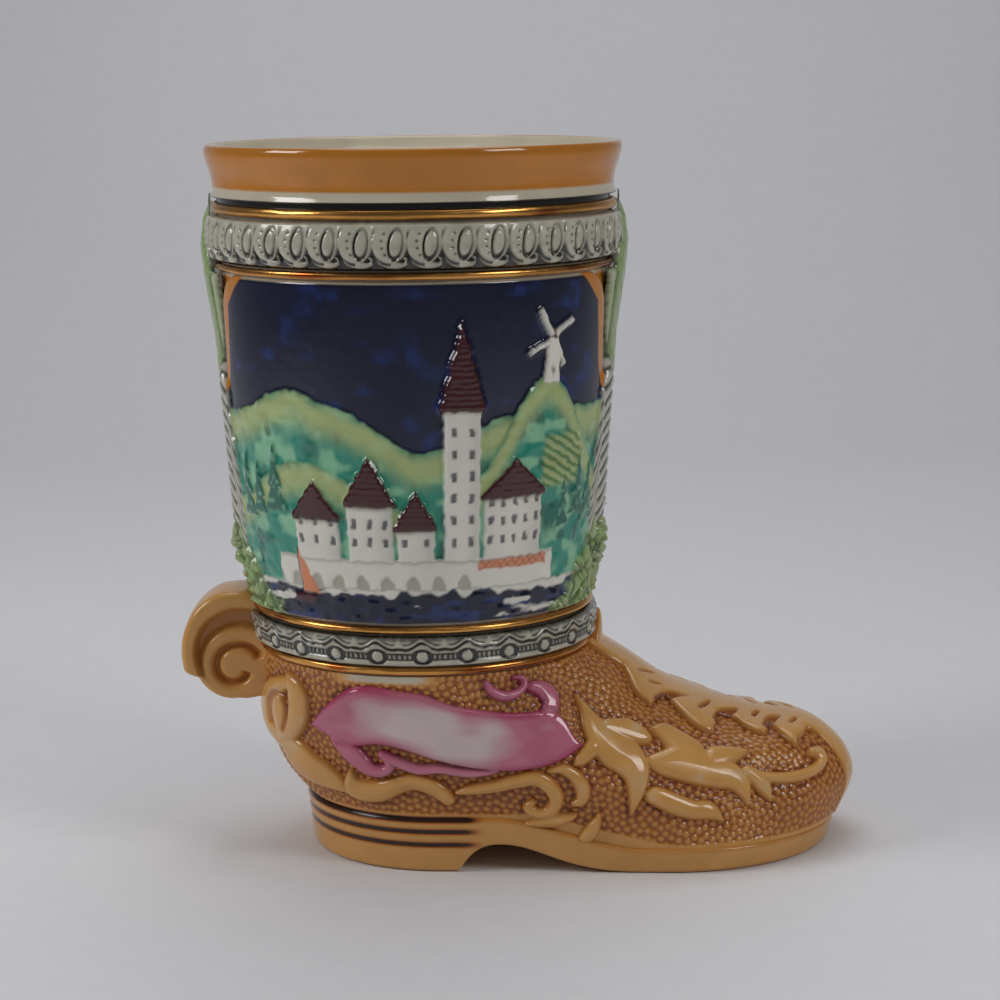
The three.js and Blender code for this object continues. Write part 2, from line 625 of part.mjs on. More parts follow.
const ACANTHUS = [
  [[30.3, 34.2, 0.3], [32.2, 31.6, 1.2], [34.1, 28.7, 1.9], [36.5, 25.8, 2.7], [39.5, 23.8, 2.7],
    [42.4, 21.8, 1.9]],
  [[38.5, 24.4, 2.7], [41.9, 20, 2.1], [41.8, 16.2, 1.5], [40.8, 12.7, 0.3]],
  [[35.6, 28.4, 1], [39.7, 27.7, 1], [43.2, 27.3, 0.3]],
  [[41, 22.6, 1], [44.4, 22.2, 1], [48.5, 22.8, 2.1], [53, 21.8, 2.5], [57.5, 20.1, 2.1], [61.1, 18.9, 1.6],
    [64.6, 17.2, 1.2], [68.7, 16.2, 0.9], [73.4, 15.9, 0.9], [77.9, 16.3, 0.9], [80, 17.6, 0.8],
    [79.2, 19.2, 0.6]],
  [[45.6, 26.8, 0.3], [49.2, 25.8, 1], [52.7, 23.9, 1.5], [56.7, 22, 1.8]],
  [[58, 20.9, 1.4], [61.2, 21.5, 1], [64.1, 21.9, 0.3]],
  [[59.5, 19, 1.2], [63, 17.3, 1.2], [64.2, 14.9, 1], [63.6, 12.4, 0.3]],
  [[65.2, 17.4, 1.2], [67.1, 16.4, 1.2], [68.4, 14.4, 0.8], [68.6, 12.5, 0.3]],
  [[41.4, 17, 0.8], [43.8, 15.6, 0.9], [46.3, 15.9, 1.5], [49.3, 14.4, 1.5], [53.8, 13.6, 1.4],
    [57.3, 12.4, 1.4], [58.7, 10.3, 0.3]],
];
const RIBBON = [
  [[-20.5, 29.2, 0.3], [-18.3, 30.4, 2.5], [-15.9, 31, 4.3], [-13, 31.7, 5.7], [-9.5, 32.2, 6],
    [-3.2, 31.6, 5.9], [1, 30.7, 6.1], [6.4, 28.9, 6], [12, 27.8, 5.9], [19, 27.1, 5.5], [24.4, 27.4, 5.2],
    [27, 27.2, 4.2], [29.4, 26.1, 2], [31.7, 25.5, 0.3]],
  [[-14.6, 26.4, 1.8], [-12, 23.2, 1.8], [-9.4, 20.9, 1.4], [-7, 20.6, 1.1], [-5.6, 22.2, 1],
    [-6.6, 25.4, 0.9]],
  [[-7, 24.4, 0.8], [-3.6, 22.6, 1], [0.3, 21.3, 1], [4.1, 21.6, 0.9], [10, 21, 1], [15.2, 21.9, 0.8]],
  [[25, 31.5, 1.8], [25.4, 34.3, 1.6], [23.8, 36.3, 1.4], [21.9, 37.2, 1], [19.4, 36.3, 0.9], [16.3, 36, 1],
    [14.2, 37.2, 0.8], [13, 38.7, 0.5]],
];
// Drawn in plan, each point (x, y, half width): the crest, its band down the toe, and one side's lobes
const INSTEP_CREST = [
  [35, 0, 5], [40, 0, 8.5], [46, 0, 9.8], [55, 0, 9.6], [64, 0, 9.4], [72, 0, 8.4], [79, 0, 6.8], [84, 0, 6],
];
const TOE_BAND = [[80, 0, 7], [95, 0, 11]];
const INSTEP_LOBES = [
  [[38.5, 7, 3.2], [41.2, 11.4, 3.8], [45.2, 17.2, 0.5]],
  [[53, 7, 3.6], [54.4, 13, 3.9], [57.4, 18.6, 0.5]],
  [[62.6, 7, 2.8], [64.8, 12.4, 3.1], [67.6, 16.4, 0.5]],
  [[70.4, 6, 2.6], [72.2, 11.2, 2.7], [74.5, 14.8, 0.5]],
];

// Outline of a stroke whose half width changes along a smooth centre line
function strokeShape(points) {
  const centre = new THREE.SplineCurve(points.map(([x, y]) => new THREE.Vector2(x, y)));
  const widths = new THREE.SplineCurve(points.map(([, , w], i) => new THREE.Vector2(i, w)));
  const steps = STROKE_STEPS * (points.length - 1);
  const edge = (i, side) => {
    const along = centre.getTangent(i / steps);
    const across = new THREE.Vector2(-along.y, along.x);
    const width = Math.max(widths.getPoint(i / steps).y, 0.2);
    return centre.getPoint(i / steps).addScaledVector(across, side * width);
  };
  const left = Array.from({ length: steps + 1 }, (_, i) => edge(i, 1));
  const right = Array.from({ length: steps + 1 }, (_, i) => edge(steps - i, -1));
  return new THREE.Shape([...left, ...right]);
}

const footSeat = swollenFoot(RELIEF_SEAT);
const reliefSkin = (height) => swollenFoot(RELIEF_SEAT + height).subtract(footSeat);

// Right-hand prism of strokes, each widened by a factor and a margin.
// They were drawn on a foot of drawnAt's height, and stretch with the foot's own.
function drawnPrism({ strokes, breadth }, margin = 0, drawnAt = 40.5) {
  const stretch = FOOT_HEIGHT / drawnAt;
  return joined(strokes.map((points) => {
    const stretched = points.map(([x, z, width]) => [x, stretch * z, stretch * breadth * width + margin]);
    return acrossBoot(strokeShape(stretched), RELIEF_DEPTH, -(RELIEF_DEPTH + CLEARANCE) / 2);
  }));
}

// Ornament pressed on to the upper, cut clear of the ones that lie over it
function sideOrnament(ornament, over) {
  const whole = reliefSkin(ornament.relief).intersect(drawnPrism(ornament));
  return over.reduce((rest, other) => rest.subtract(drawnPrism(other, CLEARANCE)), whole);
}

// Prism of a plan outline (x, y) from a floor to just under the ankle joint
function upright(shape, floor) {
  const depth = FOOT_HEIGHT - CLEARANCE - floor;
  return solid(new THREE.ExtrudeGeometry(shape, { depth, bevelEnabled: false }).translate(0, 0, floor));
}

function instepLeaf() {
  const mirrored = INSTEP_LOBES.map((lobe) => lobe.map(([x, y, w]) => [x, -y, w]));
  const leaves = [INSTEP_CREST, ...INSTEP_LOBES, ...mirrored];
  const prisms = leaves.map((points) => upright(strokeShape(points), HEEL_HEIGHT));
  const toeBand = upright(strokeShape(TOE_BAND), SOLE_HEIGHT + 2 * RELIEF_SEAT);
  const crest = reliefSkin(INSTEP_RELIEF).intersect(joined(prisms));
  const leaf = crest.add(reliefSkin(TOE_RELIEF).intersect(toeBand));
  const clearOfBorder = 2 * CLEARANCE + LOWER_BORDER_PROUD + BOSS_PROUD;
  const tongue = tile(4, 4, (u, v) => [
    (u - 0.5) * 2 * radians(TONGUE_HALF_ANGLE) * (1 - 0.5 * v * v),
    lerp(FOOT_HEIGHT - TONGUE_LAP, FOOT_HEIGHT + TONGUE_HEIGHT, v),
  ], () => clearOfBorder, (u) => clearOfBorder + TONGUE_THICKNESS * Math.sin(Math.PI * lerp(0.15, 0.85, u)));
  return leaf.add(tongue.subtract(footSeat));
}

// Finishes

function finish(color, roughness = 0.25, metalness = 0) {
  return new THREE.MeshStandardMaterial({ color, roughness, metalness });
}
const IVORY = finish(0xe4e2d2);
const TAN = finish(0xd39a52);
const ORANGE = finish(0xd08a45);
const GREY = finish(0xa9aa9c);
const GILT = finish(0xc08a4a, 0.15, 1);
const NAVY = finish(0x1c2447);
const GREEN = finish(0x86ab63);
const PINK = finish(0xb5668c);

const boot = new THREE.Group();
boot.name = 'boot_stein';

function add(name, shape, material, mirror = false) {
  const geometry = shape.isBufferGeometry ? shape : geometryOf(shape);
  const mesh = new THREE.Mesh(geometry, material);
  mesh.name = name;
  mesh.scale.y = mirror ? -1 : 1;
  boot.add(mesh);
}

add('leg', leg(), IVORY);
add('rim_collar', rimCollar(), ORANGE);
add('foot', foot(), TAN);
add('sole', soleBlock(), TAN);
add('heel', heelBlock(), TAN);
add('spur', spur(), TAN);
add('gilt_bead_ankle', bead(ANKLE_BEAD), GILT);
add('lower_border', lowerBorder(), GREY);
add('gilt_bead_lower', bead(LOWER_BEAD), GILT);
add('gilt_bead_upper', bead(UPPER_BEAD), GILT);
add('upper_border', upperBorder(), GREY);
add('gilt_bead_neck', bead(NECK_BEAD), GILT);
add('picture_panel_right', panel(-90), NAVY);
add('picture_panel_left', panel(90), NAVY);
add('tree_sprig_front', sprig(0), GREEN);
add('tree_sprig_back', sprig(180), GREEN);
add('instep_leaf', instepLeaf(), TAN);

// In the order they lie, each over the ones after it
const PAIRED = [
  { name: 'ribbon', strokes: RIBBON, breadth: 1, relief: RIBBON_RELIEF, glaze: PINK },
  { name: 'heel_scroll', strokes: HEEL_SCROLL, breadth: 1, relief: ORNAMENT_RELIEF, glaze: TAN },
  { name: 'acanthus', strokes: ACANTHUS, breadth: ACANTHUS_BREADTH, relief: ORNAMENT_RELIEF, glaze: TAN },
  { name: 'welt_scroll', strokes: WELT_SCROLL, breadth: WELT_BREADTH, relief: ORNAMENT_RELIEF, glaze: TAN },
];
PAIRED.forEach((ornament, i) => {
  const shape = geometryOf(sideOrnament(ornament, PAIRED.slice(0, i)));
  add(`${ornament.name}_right`, shape, ornament.glaze);
  add(`${ornament.name}_left`, shape, ornament.glaze, true);
});

export default boot;
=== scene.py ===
"""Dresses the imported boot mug: moulded relief, stained and painted glazes, gold lustre, and a studio.

Shapes are worked out in millimetres as whole arrays and written to the meshes in metres.
"""

import bmesh
import bpy
import numpy as np
from bpy.props import FloatProperty, FloatVectorProperty, IntProperty, PointerProperty
from mathutils import Matrix, Vector


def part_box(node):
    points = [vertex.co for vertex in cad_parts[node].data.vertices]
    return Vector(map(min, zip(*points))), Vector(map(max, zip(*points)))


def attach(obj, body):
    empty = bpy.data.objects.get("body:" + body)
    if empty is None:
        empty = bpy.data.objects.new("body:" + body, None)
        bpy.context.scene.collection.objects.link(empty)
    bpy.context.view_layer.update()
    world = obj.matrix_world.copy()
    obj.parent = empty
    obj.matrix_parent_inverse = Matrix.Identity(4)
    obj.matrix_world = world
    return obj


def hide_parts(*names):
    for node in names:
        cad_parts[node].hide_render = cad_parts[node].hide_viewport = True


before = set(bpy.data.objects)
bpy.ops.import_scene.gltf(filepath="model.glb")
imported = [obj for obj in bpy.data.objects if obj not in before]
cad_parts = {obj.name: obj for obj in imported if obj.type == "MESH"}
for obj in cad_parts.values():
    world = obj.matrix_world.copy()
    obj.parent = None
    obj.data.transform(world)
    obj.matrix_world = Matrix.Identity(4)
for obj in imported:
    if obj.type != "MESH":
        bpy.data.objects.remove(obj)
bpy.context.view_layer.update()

bl_info = {
    "name": "Boot mug",
    "version": (1, 0, 0),
    "blender": (4, 5, 0),
    "location": "View3D > Sidebar > Boot mug",
    "description": "Relief, glazes and studio for a ceramic drinking boot",
    "category": "Object",
}

MM = 0.001
TAU = 2 * np.pi
FAR = 9.0                        # beyond the reach of any stroke or bead, in millimetres
SHARP_ANGLE = np.radians(70)
WELD_DISTANCE = 0.002 * MM


# Numbers and colours

def linear(hex_colour):
    """Linear red, green and blue of an sRGB hex value."""
    channel = np.array([int(hex_colour[i:i + 2], 16) for i in (0, 2, 4)]) / 255
    return np.where(channel <= 0.04045, channel / 12.92, ((channel + 0.055) / 1.055) ** 2.4)


def ease(x, low, high):
    """Smooth step of x: 0 at low, 1 at high."""
    share = np.clip((x - low) / (high - low), 0, 1)
    return share * share * (3 - 2 * share)


def between(x, low, high, soft=0.2):
    """Soft mask that is 1 where x lies from low to high."""
    return ease(x, low - soft, low + soft) * (1 - ease(x, high - soft, high + soft))


def mixed(first, second, share):
    """Colour first where share is 0, second where it is 1."""
    return first + (np.asarray(second) - first) * np.asarray(share)[..., None]


def bump(x, centre, width):
    """Bell of height 1 at the centre, all but gone two widths away."""
    return np.exp(-((x - centre) / width) ** 2)


def quarter_round(depth, radius):
    """Height from 0 to 1 of a quarter round that is full at its radius."""
    return np.sqrt(1 - (1 - np.clip(depth / radius, 0, 1)) ** 2)


def hashed(turn):
    """Number from 0 to 1 that jumps about with its input."""
    return np.modf(np.abs(np.sin(turn) * 43758.5453))[0]


def noise(x, y, seed=0.0):
    """Value noise from -1 to 1: hashed numbers at whole coordinates, eased between them."""
    column, row = np.floor(x), np.floor(y)
    across, up = ease(x - column, 0, 1), ease(y - row, 0, 1)

    def corner(i, j):
        return hashed((column + i) * 127.1 + (row + j) * 311.7 + seed * 74.7)

    low = corner(0, 0) * (1 - across) + corner(1, 0) * across
    high = corner(0, 1) * (1 - across) + corner(1, 1) * across
    return 2 * (low * (1 - up) + high * up) - 1


def spline(points, share):
    """Catmull-Rom curve through evenly timed points, at a share from 0 to 1 of its run."""
    points = np.asarray(points, float)
    last = len(points) - 1
    run = np.clip(np.asarray(share, float), 0, 1) * last
    i = np.minimum(run.astype(int), last - 1)
    w = (run - i)[..., None]
    p0, p1, p2, p3 = (points[np.clip(i + k, 0, last)] for k in (-1, 0, 1, 2))
    v1, v2 = (p2 - p0) / 2, (p3 - p1) / 2
    return (2 * p1 - 2 * p2 + v1 + v2) * w ** 3 + (3 * p2 - 3 * p1 - 2 * v1 - v2) * w ** 2 + v1 * w + p1


def stroke_field(x, y, strokes, blend=0.35):
    """Signed depth inside drawn strokes, positive within and negative outside.

    Each stroke is a spline of (x, y, half width) cut into short pieces; a piece gives half width minus distance.
    The greatest over a stroke's pieces is its depth, and strokes meet in a smooth maximum.
    """
    depth = np.full(x.shape, -FAR)
    for stroke in strokes:
        line = spline(stroke, np.linspace(0, 1, 8 * (len(stroke) - 1) + 1))
        margin = line[:, 2].max() + 3
        near = (x > line[:, 0].min() - margin) & (x < line[:, 0].max() + margin)
        near &= (y > line[:, 1].min() - margin) & (y < line[:, 1].max() + margin)
        if not near.any():
            continue
        px, py = x[near][:, None], y[near][:, None]
        start, step = line[:-1], np.diff(line, axis=0)
        length = np.maximum(step[:, 0] ** 2 + step[:, 1] ** 2, 1e-9)
        along = np.clip(((px - start[:, 0]) * step[:, 0] + (py - start[:, 1]) * step[:, 1]) / length, 0, 1)
        off = np.hypot(px - start[:, 0] - along * step[:, 0], py - start[:, 1] - along * step[:, 1])
        own = (np.maximum(start[:, 2] + along * step[:, 2], 0.15) - off).max(axis=1)
        old = depth[near]
        gap = np.clip(blend - np.abs(own - old), 0, None)
        depth[near] = np.maximum(own, old) + gap * gap / (4 * blend)
    return depth


def full_turn(count):
    """Evenly spaced angles once round."""
    return np.linspace(0, TAU, count, endpoint=False)


def span(part):
    """Lowest and highest z of a CAD node, in millimetres."""
    low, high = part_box(part)
    return low[2] / MM, high[2] / MM


# Form of the leg and the foot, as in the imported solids

ANKLE_Z = span("leg")[0]
LEG_TOP = span("leg")[1]
RIM_TOP = span("rim_collar")[1]
PANEL_LOW, PANEL_HIGH = span("picture_panel_right")
SHIN_Z = PANEL_LOW + 0.08 * (PANEL_HIGH - PANEL_LOW)
CALF_Z = (PANEL_LOW + PANEL_HIGH) / 2
LEG_LINE = [(ANKLE_Z, 32.3), (SHIN_Z, 33.6), (CALF_Z, 36.6), (LEG_TOP, 38.8)]
LEG_SAMPLES = spline(LEG_LINE, np.linspace(0, 1, 200))
ANKLE_LEAD = 1.1
LEAN_HEIGHT = 30.0
WALL = 4.6
SEAT = 0.3                       # glaze gap under a piece that sits on the leg

ANKLE_RADIUS = 32.9
TOE_CENTRE, TOE_LENGTH, TOE_HALF_WIDTH = 50.0, 34.0, 31.0
HEEL_CENTRE, HEEL_RADIUS = 4.6, 28.4
HEEL_HEIGHT, SOLE_HEIGHT = 11.0, 5.0
SHANK_BACK, SHANK_FRONT = 14.0, 44.0
WELT_STEP = 0.9
FLOOR = 4.0
TOE_LINE = [(0, 1), (.15, .875), (.34, .705), (.66, .552), (.96, .47), (1.085, .245), (1.02, 0)]
SIDE_LINE = [(0, 1), (.1, .84), (.36, .56), (.72, .27), (1, 0)]
HEEL_LINE = [(0, 1), (0, .72), (.09, .47), (.42, .2), (.97, 0)]


def leg_radius(z):
    """Radius of the leg at a height, along a spline from ankle over shin and calf to neck."""
    return np.interp(z, LEG_SAMPLES[:, 0], LEG_SAMPLES[:, 1])


def leg_point(angle, z, offset):
    """Point on the leg at an angle and height, offset outward; the ankle leads towards the toe."""
    angle, z, offset = np.broadcast_arrays(angle, z, offset)
    lead = ANKLE_LEAD * np.clip(1 - (z - ANKLE_Z) / LEAN_HEIGHT, 0, 1) ** 2
    radius = leg_radius(z) + offset
    return np.stack([lead + radius * np.cos(angle), radius * np.sin(angle), z], -1)


def sole_outline(u, inset):
    """Plan of the sole at a share u of its length: half ellipse at the toe, straight sides, half circle at the heel.

    It runs from the toe's tip along +Y to the heel and back along -Y.
    """
    quarter = np.linspace(0, np.pi / 2, 90)
    toe = [TOE_CENTRE + (TOE_LENGTH - inset) * np.cos(quarter), (TOE_HALF_WIDTH - inset) * np.sin(quarter)]
    heel = [HEEL_CENTRE - (HEEL_RADIUS - inset) * np.sin(quarter), (HEEL_RADIUS - inset) * np.cos(quarter)]
    x, y = np.hstack([toe, heel])
    run = np.concatenate([[0], np.cumsum(np.hypot(np.diff(x), np.diff(y)))])
    u = np.asarray(u, float) % 1
    at = np.where(u > 0.5, 1 - u, u) * 2 * run[-1]
    return np.stack([np.interp(at, run, x), np.where(u > 0.5, -1, 1) * np.interp(at, run, y)], -1)


def welt_height(x):
    """Height of the joint of upper and sole: heel height, easing down to sole height under the shank."""
    return HEEL_HEIGHT + (SOLE_HEIGHT - HEEL_HEIGHT) * ease(x, SHANK_BACK, SHANK_FRONT)


def upper_point(u, fall, inset=0.0, lift=0.0, sag=0.0):
    """Point on the foot between the ankle ring (fall 0) and the welt (fall 1).

    Toe, side and heel profiles are mixed by the direction u, then stretched from the ring to the sole's outline.
    """
    u, fall = np.broadcast_arrays(np.asarray(u, float), np.asarray(fall, float))
    cosine = np.cos(TAU * u)
    toe, heel = np.maximum(cosine, 0) ** 3, np.maximum(-cosine, 0) ** 2
    line = toe[..., None] * spline(TOE_LINE, fall) + heel[..., None] * spline(HEEL_LINE, fall)
    line = line + (1 - toe - heel)[..., None] * spline(SIDE_LINE, fall)
    edge = sole_outline(u, WELT_STEP + inset)
    radius = ANKLE_RADIUS - inset
    ring = np.stack([ANKLE_LEAD + radius * cosine, radius * np.sin(TAU * u)], -1)
    plan = ring + line[..., :1] * (edge - ring)
    welt = welt_height(edge[..., 0]) + lift
    z = welt + line[..., 1] * (ANKLE_Z - welt) - sag * np.sin(np.pi * line[..., 1])
    return np.concatenate([plan, z[..., None]], -1)


def upper_frame(u, fall):
    """Points of the foot and its outward normals, from steps across and down."""
    step = 1e-3
    across = upper_point(u + step, fall) - upper_point(u - step, fall)
    down = upper_point(u, np.minimum(fall + step, 1)) - upper_point(u, np.maximum(fall - step, 0))
    normal = np.cross(down, across)
    return upper_point(u, fall), normal / np.linalg.norm(normal, axis=-1, keepdims=True)


# Meshes

def grid_faces(rows, columns, wrap_rows=False, wrap_columns=False):
    """Quads between neighbours of a grid, wrapped where it closes on itself."""
    index = np.arange(rows * columns).reshape(rows, columns)
    if wrap_rows:
        index = np.vstack([index, index[:1]])
    if wrap_columns:
        index = np.hstack([index, index[:, :1]])
    return np.stack([index[:-1, :-1], index[:-1, 1:], index[1:, 1:], index[1:, :-1]], -1).reshape(-1, 4)


def signed_volume(points, quads):
    """Volume within quads that face outward; negative where they face inward."""
    a, b, c, d = (points[quads[:, k]] for k in range(4))
    return (np.cross(a, b) * c).sum() / 6 + (np.cross(a, c) * d).sum() / 6


def piece_from(name, points, quads, caps, slot, nodes, paint=None, stain=None, weld=False):
    """Object from points in millimetres, with its colour layers, riding on the body.

    Besides the quads it takes caps: one array for each lot of faces with the same number of corners.
    """
    points = points.reshape(-1, 3)
    caps = [np.atleast_2d(cap) for cap in caps]
    centre = points.mean(axis=0)
    volume = signed_volume(points - centre, quads)
    for cap in caps:
        ends = cap[:, 2:]
        fan = np.stack([np.broadcast_to(cap[:, :1], ends.shape), cap[:, 1:-1], ends, ends], -1)
        volume += signed_volume(points - centre, fan.reshape(-1, 4))
    faces = [quads, *caps]
    if volume < 0:
        faces = [face[:, ::-1] for face in faces]
    mesh = bpy.data.meshes.new(name)
    corners = np.concatenate([face.ravel() for face in faces]).astype(np.int32)
    sizes = np.concatenate([np.full(len(face), face.shape[1]) for face in faces])
    mesh.vertices.add(len(points))
    mesh.vertices.foreach_set("co", (points * MM).astype(np.float32).ravel())
    mesh.loops.add(len(corners))
    mesh.loops.foreach_set("vertex_index", corners)
    mesh.polygons.add(len(sizes))
    mesh.polygons.foreach_set("loop_start", np.concatenate([[0], np.cumsum(sizes)[:-1]]).astype(np.int32))
    mesh.update(calc_edges=True)
    if paint is not None:
        rgba = np.concatenate([paint.reshape(-1, 3), np.ones((len(points), 1))], axis=1)
        mesh.attributes.new("paint", "FLOAT_COLOR", "POINT").data.foreach_set("color", rgba.ravel())
    if stain is not None:
        mesh.attributes.new("stain", "FLOAT", "POINT").data.foreach_set("value", stain.ravel())
    if weld:
        merged = bmesh.new()
        merged.from_mesh(mesh)
        bmesh.ops.remove_doubles(merged, verts=merged.verts, dist=WELD_DISTANCE)
        merged.to_mesh(mesh)
        merged.free()
    mesh.polygons.foreach_set("use_smooth", np.ones(len(mesh.polygons), bool))
    mesh.set_sharp_from_angle(angle=SHARP_ANGLE)
    if mesh.validate():
        raise RuntimeError(f"{name} has faulty faces")
    mesh.materials.append(finish_for(slot))
    piece = bpy.data.objects.new(name, mesh)
    bpy.context.scene.collection.objects.link(piece)
    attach(piece, "root")
    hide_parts(*nodes)
    return piece


def ring_piece(name, points, slot, nodes, **layers):
    """Ring: closed sections (rows) at each angle (columns)."""
    quads = grid_faces(*points.shape[:2], wrap_rows=True, wrap_columns=True)
    return piece_from(name, points, quads, [], slot, nodes, **layers)


def cells_inside(depth, limit):
    """Cells of a grid with two opposite corners deeper than a limit."""
    inside = depth > limit
    return inside[:-1, :-1] & inside[1:, 1:]


def relief_piece(name, top, under, keep, slot, nodes, block=6, **layers):
    """Closed sheet between two grids over the kept cells, walled along its outline.

    Cells that touch at a corner only are joined first. On the hidden underside a fan of triangles stands for each
    whole block of cells.
    """
    keep = keep.copy()
    for _ in range(3):
        a, b, c, d = keep[:-1, :-1], keep[:-1, 1:], keep[1:, :-1], keep[1:, 1:]
        falling, rising = a & d & ~b & ~c, b & c & ~a & ~d
        keep[:-1, 1:] |= falling
        keep[:-1, :-1] |= rising
    rows, columns = top.shape[:2]
    count = rows * columns
    grid = grid_faces(rows, columns)
    cells = grid[keep.ravel()]
    edges = np.concatenate([cells[:, [k, (k + 1) % 4]] for k in range(4)])
    rim = edges[~np.isin(edges[:, 0] * count + edges[:, 1], edges[:, 1] * count + edges[:, 0])]
    walls = np.stack([rim[:, 1], rim[:, 0], rim[:, 0] + count, rim[:, 1] + count], -1)
    tall, wide = (rows - 1) // block, (columns - 1) // block
    whole = keep[:tall * block, :wide * block].reshape(tall, block, wide, block).all(axis=(1, 3))
    single = keep.copy()
    single[:tall * block, :wide * block] &= ~whole.repeat(block, axis=0).repeat(block, axis=1)
    quads = np.concatenate([cells, grid[single.ravel()][:, ::-1] + count, walls])
    side = np.arange(block)
    ring = np.concatenate([side, block + side * columns, block * columns + block - side, (block - side) * columns])
    row, column = np.nonzero(whole)
    corner = count + ((row * columns + column) * block)[:, None]
    middle = corner + block // 2 * (columns + 1) + 0 * ring
    fans = np.stack([corner + np.roll(ring, -1), corner + ring, middle], -1)
    used, again = np.unique(np.concatenate([quads.ravel(), fans.ravel()]), return_inverse=True)
    points = np.concatenate([top.reshape(-1, 3), under.reshape(-1, 3)])[used]
    twice = {}
    for layer, values in layers.items():
        flat = values.reshape(count, -1)
        twice[layer] = np.concatenate([flat, flat])[used]
    quads, fans = again[:quads.size].reshape(-1, 4), again[quads.size:].reshape(-1, 3)
    return piece_from(name, points, quads, [fans], slot, nodes, **twice)


# Materials

def node(tree, kind, settings=None, sockets=None, links=None):
    """Add a node, set its properties and input values, and link outputs to its inputs."""
    made = tree.nodes.new(kind)
    for key, value in (settings or {}).items():
        setattr(made, key, value)
    for key, value in (sockets or {}).items():
        made.inputs[key].default_value = value
    for key, output in (links or {}).items():
        tree.links.new(output, made.inputs[key])
    return made


def glaze(name, colour, roughness=0.12, ripple=0.15, speck=0.04, metallic=0.0, coat=0.0):
    """Material whose colour comes from colour(tree), with mottling, uneven gloss and a faint ripple.

    Mottling is a noise of 6 mm cells, uneven gloss one of 3 mm, and the ripple one of 2.5 mm.
    """
    if name in bpy.data.materials:
        return bpy.data.materials[name]
    material = bpy.data.materials.new(name)
    material.use_nodes = True
    tree = material.node_tree
    tree.nodes.clear()
    place = node(tree, "ShaderNodeTexCoord").outputs["Object"]
    mottle = node(tree, "ShaderNodeTexNoise", {}, {"Scale": 1 / (6 * MM), "Detail": 3.0}, {"Vector": place})
    shade = node(tree, "ShaderNodeMapRange", {}, {"To Min": 1 - 3 * speck, "To Max": 1 + 3 * speck},
                 {"Value": mottle.outputs["Fac"]})
    tint = node(tree, "ShaderNodeHueSaturation", {}, {}, {"Color": colour(tree), "Value": shade.outputs["Result"]})
    gloss = node(tree, "ShaderNodeTexNoise", {}, {"Scale": 1 / (3 * MM), "Detail": 2.0}, {"Vector": place})
    rough = node(tree, "ShaderNodeMapRange", {}, {"To Min": roughness * 0.7, "To Max": roughness * 1.4},
                 {"Value": gloss.outputs["Fac"]})
    wave = node(tree, "ShaderNodeTexNoise", {}, {"Scale": 1 / (2.5 * MM), "Detail": 1.0}, {"Vector": place})
    lift = node(tree, "ShaderNodeBump", {}, {"Strength": ripple, "Distance": 0.15 * MM},
                {"Height": wave.outputs["Fac"]})
    shader = node(tree, "ShaderNodeBsdfPrincipled", {},
                  {"Metallic": metallic, "Coat Weight": coat, "Coat Roughness": 0.04},
                  {"Base Color": tint.outputs["Color"], "Roughness": rough.outputs["Result"],
                   "Normal": lift.outputs["Normal"]})
    node(tree, "ShaderNodeOutputMaterial", {}, {}, {"Surface": shader.outputs["BSDF"]})
    return material


def painted(tree):
    """Colour layer brushed under the glaze."""
    return node(tree, "ShaderNodeAttribute", {"attribute_name": "paint"}).outputs["Color"]


def stained(stops):
    """Colour source: a ramp over the layer of pooled colour and painted shade, from wiped high places to pooled
    hollows.
    """
    def colour(tree):
        layer = node(tree, "ShaderNodeAttribute", {"attribute_name": "stain"})
        ramp = node(tree, "ShaderNodeValToRGB", {}, {}, {"Fac": layer.outputs["Fac"]})
        for _ in range(len(stops) - 2):
            ramp.color_ramp.elements.new(0.5)
        for element, (position, _) in zip(ramp.color_ramp.elements, stops):
            element.position = position
        for element, (_, value) in zip(ramp.color_ramp.elements, stops):
            element.color = (*value, 1)
        return ramp.outputs["Color"]
    return colour


def finish_for(slot):
    """Finish of a material slot, made once."""
    c = bpy.context.scene.boot_colours
    # Amber glaze over a brown stain wiped off the high places: honey relief on a dark pebbled ground
    if slot == "tan_glaze":
        stops = [(0, c.ivory), (0.08, c.tan), (0.28, c.honey), (0.52, c.amber), (0.76, c.brown), (1, c.dark)]
        return glaze("amber_glaze_over_brown_stain", stained(stops), roughness=0.16)
    # Grey wash glaze: pale ornament drawn in dark hollows, with painted shade beside each leaf lobe and along the
    # border edges
    if slot == "grey_glaze":
        stops = [(0, c.pale_grey), (0.4, c.grey), (0.75, c.wash), (1, c.black)]
        return glaze("grey_wash_and_painted_shade_glaze", stained(stops), roughness=0.16, coat=0.4)
    # Gold lustre: a thin bright copper-gold film
    if slot == "gold_lustre":
        return glaze("fired_gold_lustre", painted, roughness=0.24, ripple=0.35, speck=0.06, metallic=1.0)
    # Underglaze colours under clear gloss: crisp painted edges with deep reflections
    return glaze("underglaze_paint_under_clear_gloss", painted, roughness=0.1, coat=0.2)


# Sizes and colours that a user would change

def colour_property(label, hex_colour):
    """Colour property with an sRGB hex default."""
    return FloatVectorProperty(name=label, description=f"{label} of the glaze", subtype="COLOR", size=3, min=0, max=1,
                               default=tuple(linear(hex_colour)))


def length_property(label, note, millimetres):
    """Length property, in metres, with its default in millimetres."""
    return FloatProperty(name=label, description=note, unit="LENGTH", default=millimetres * MM, min=0.0)


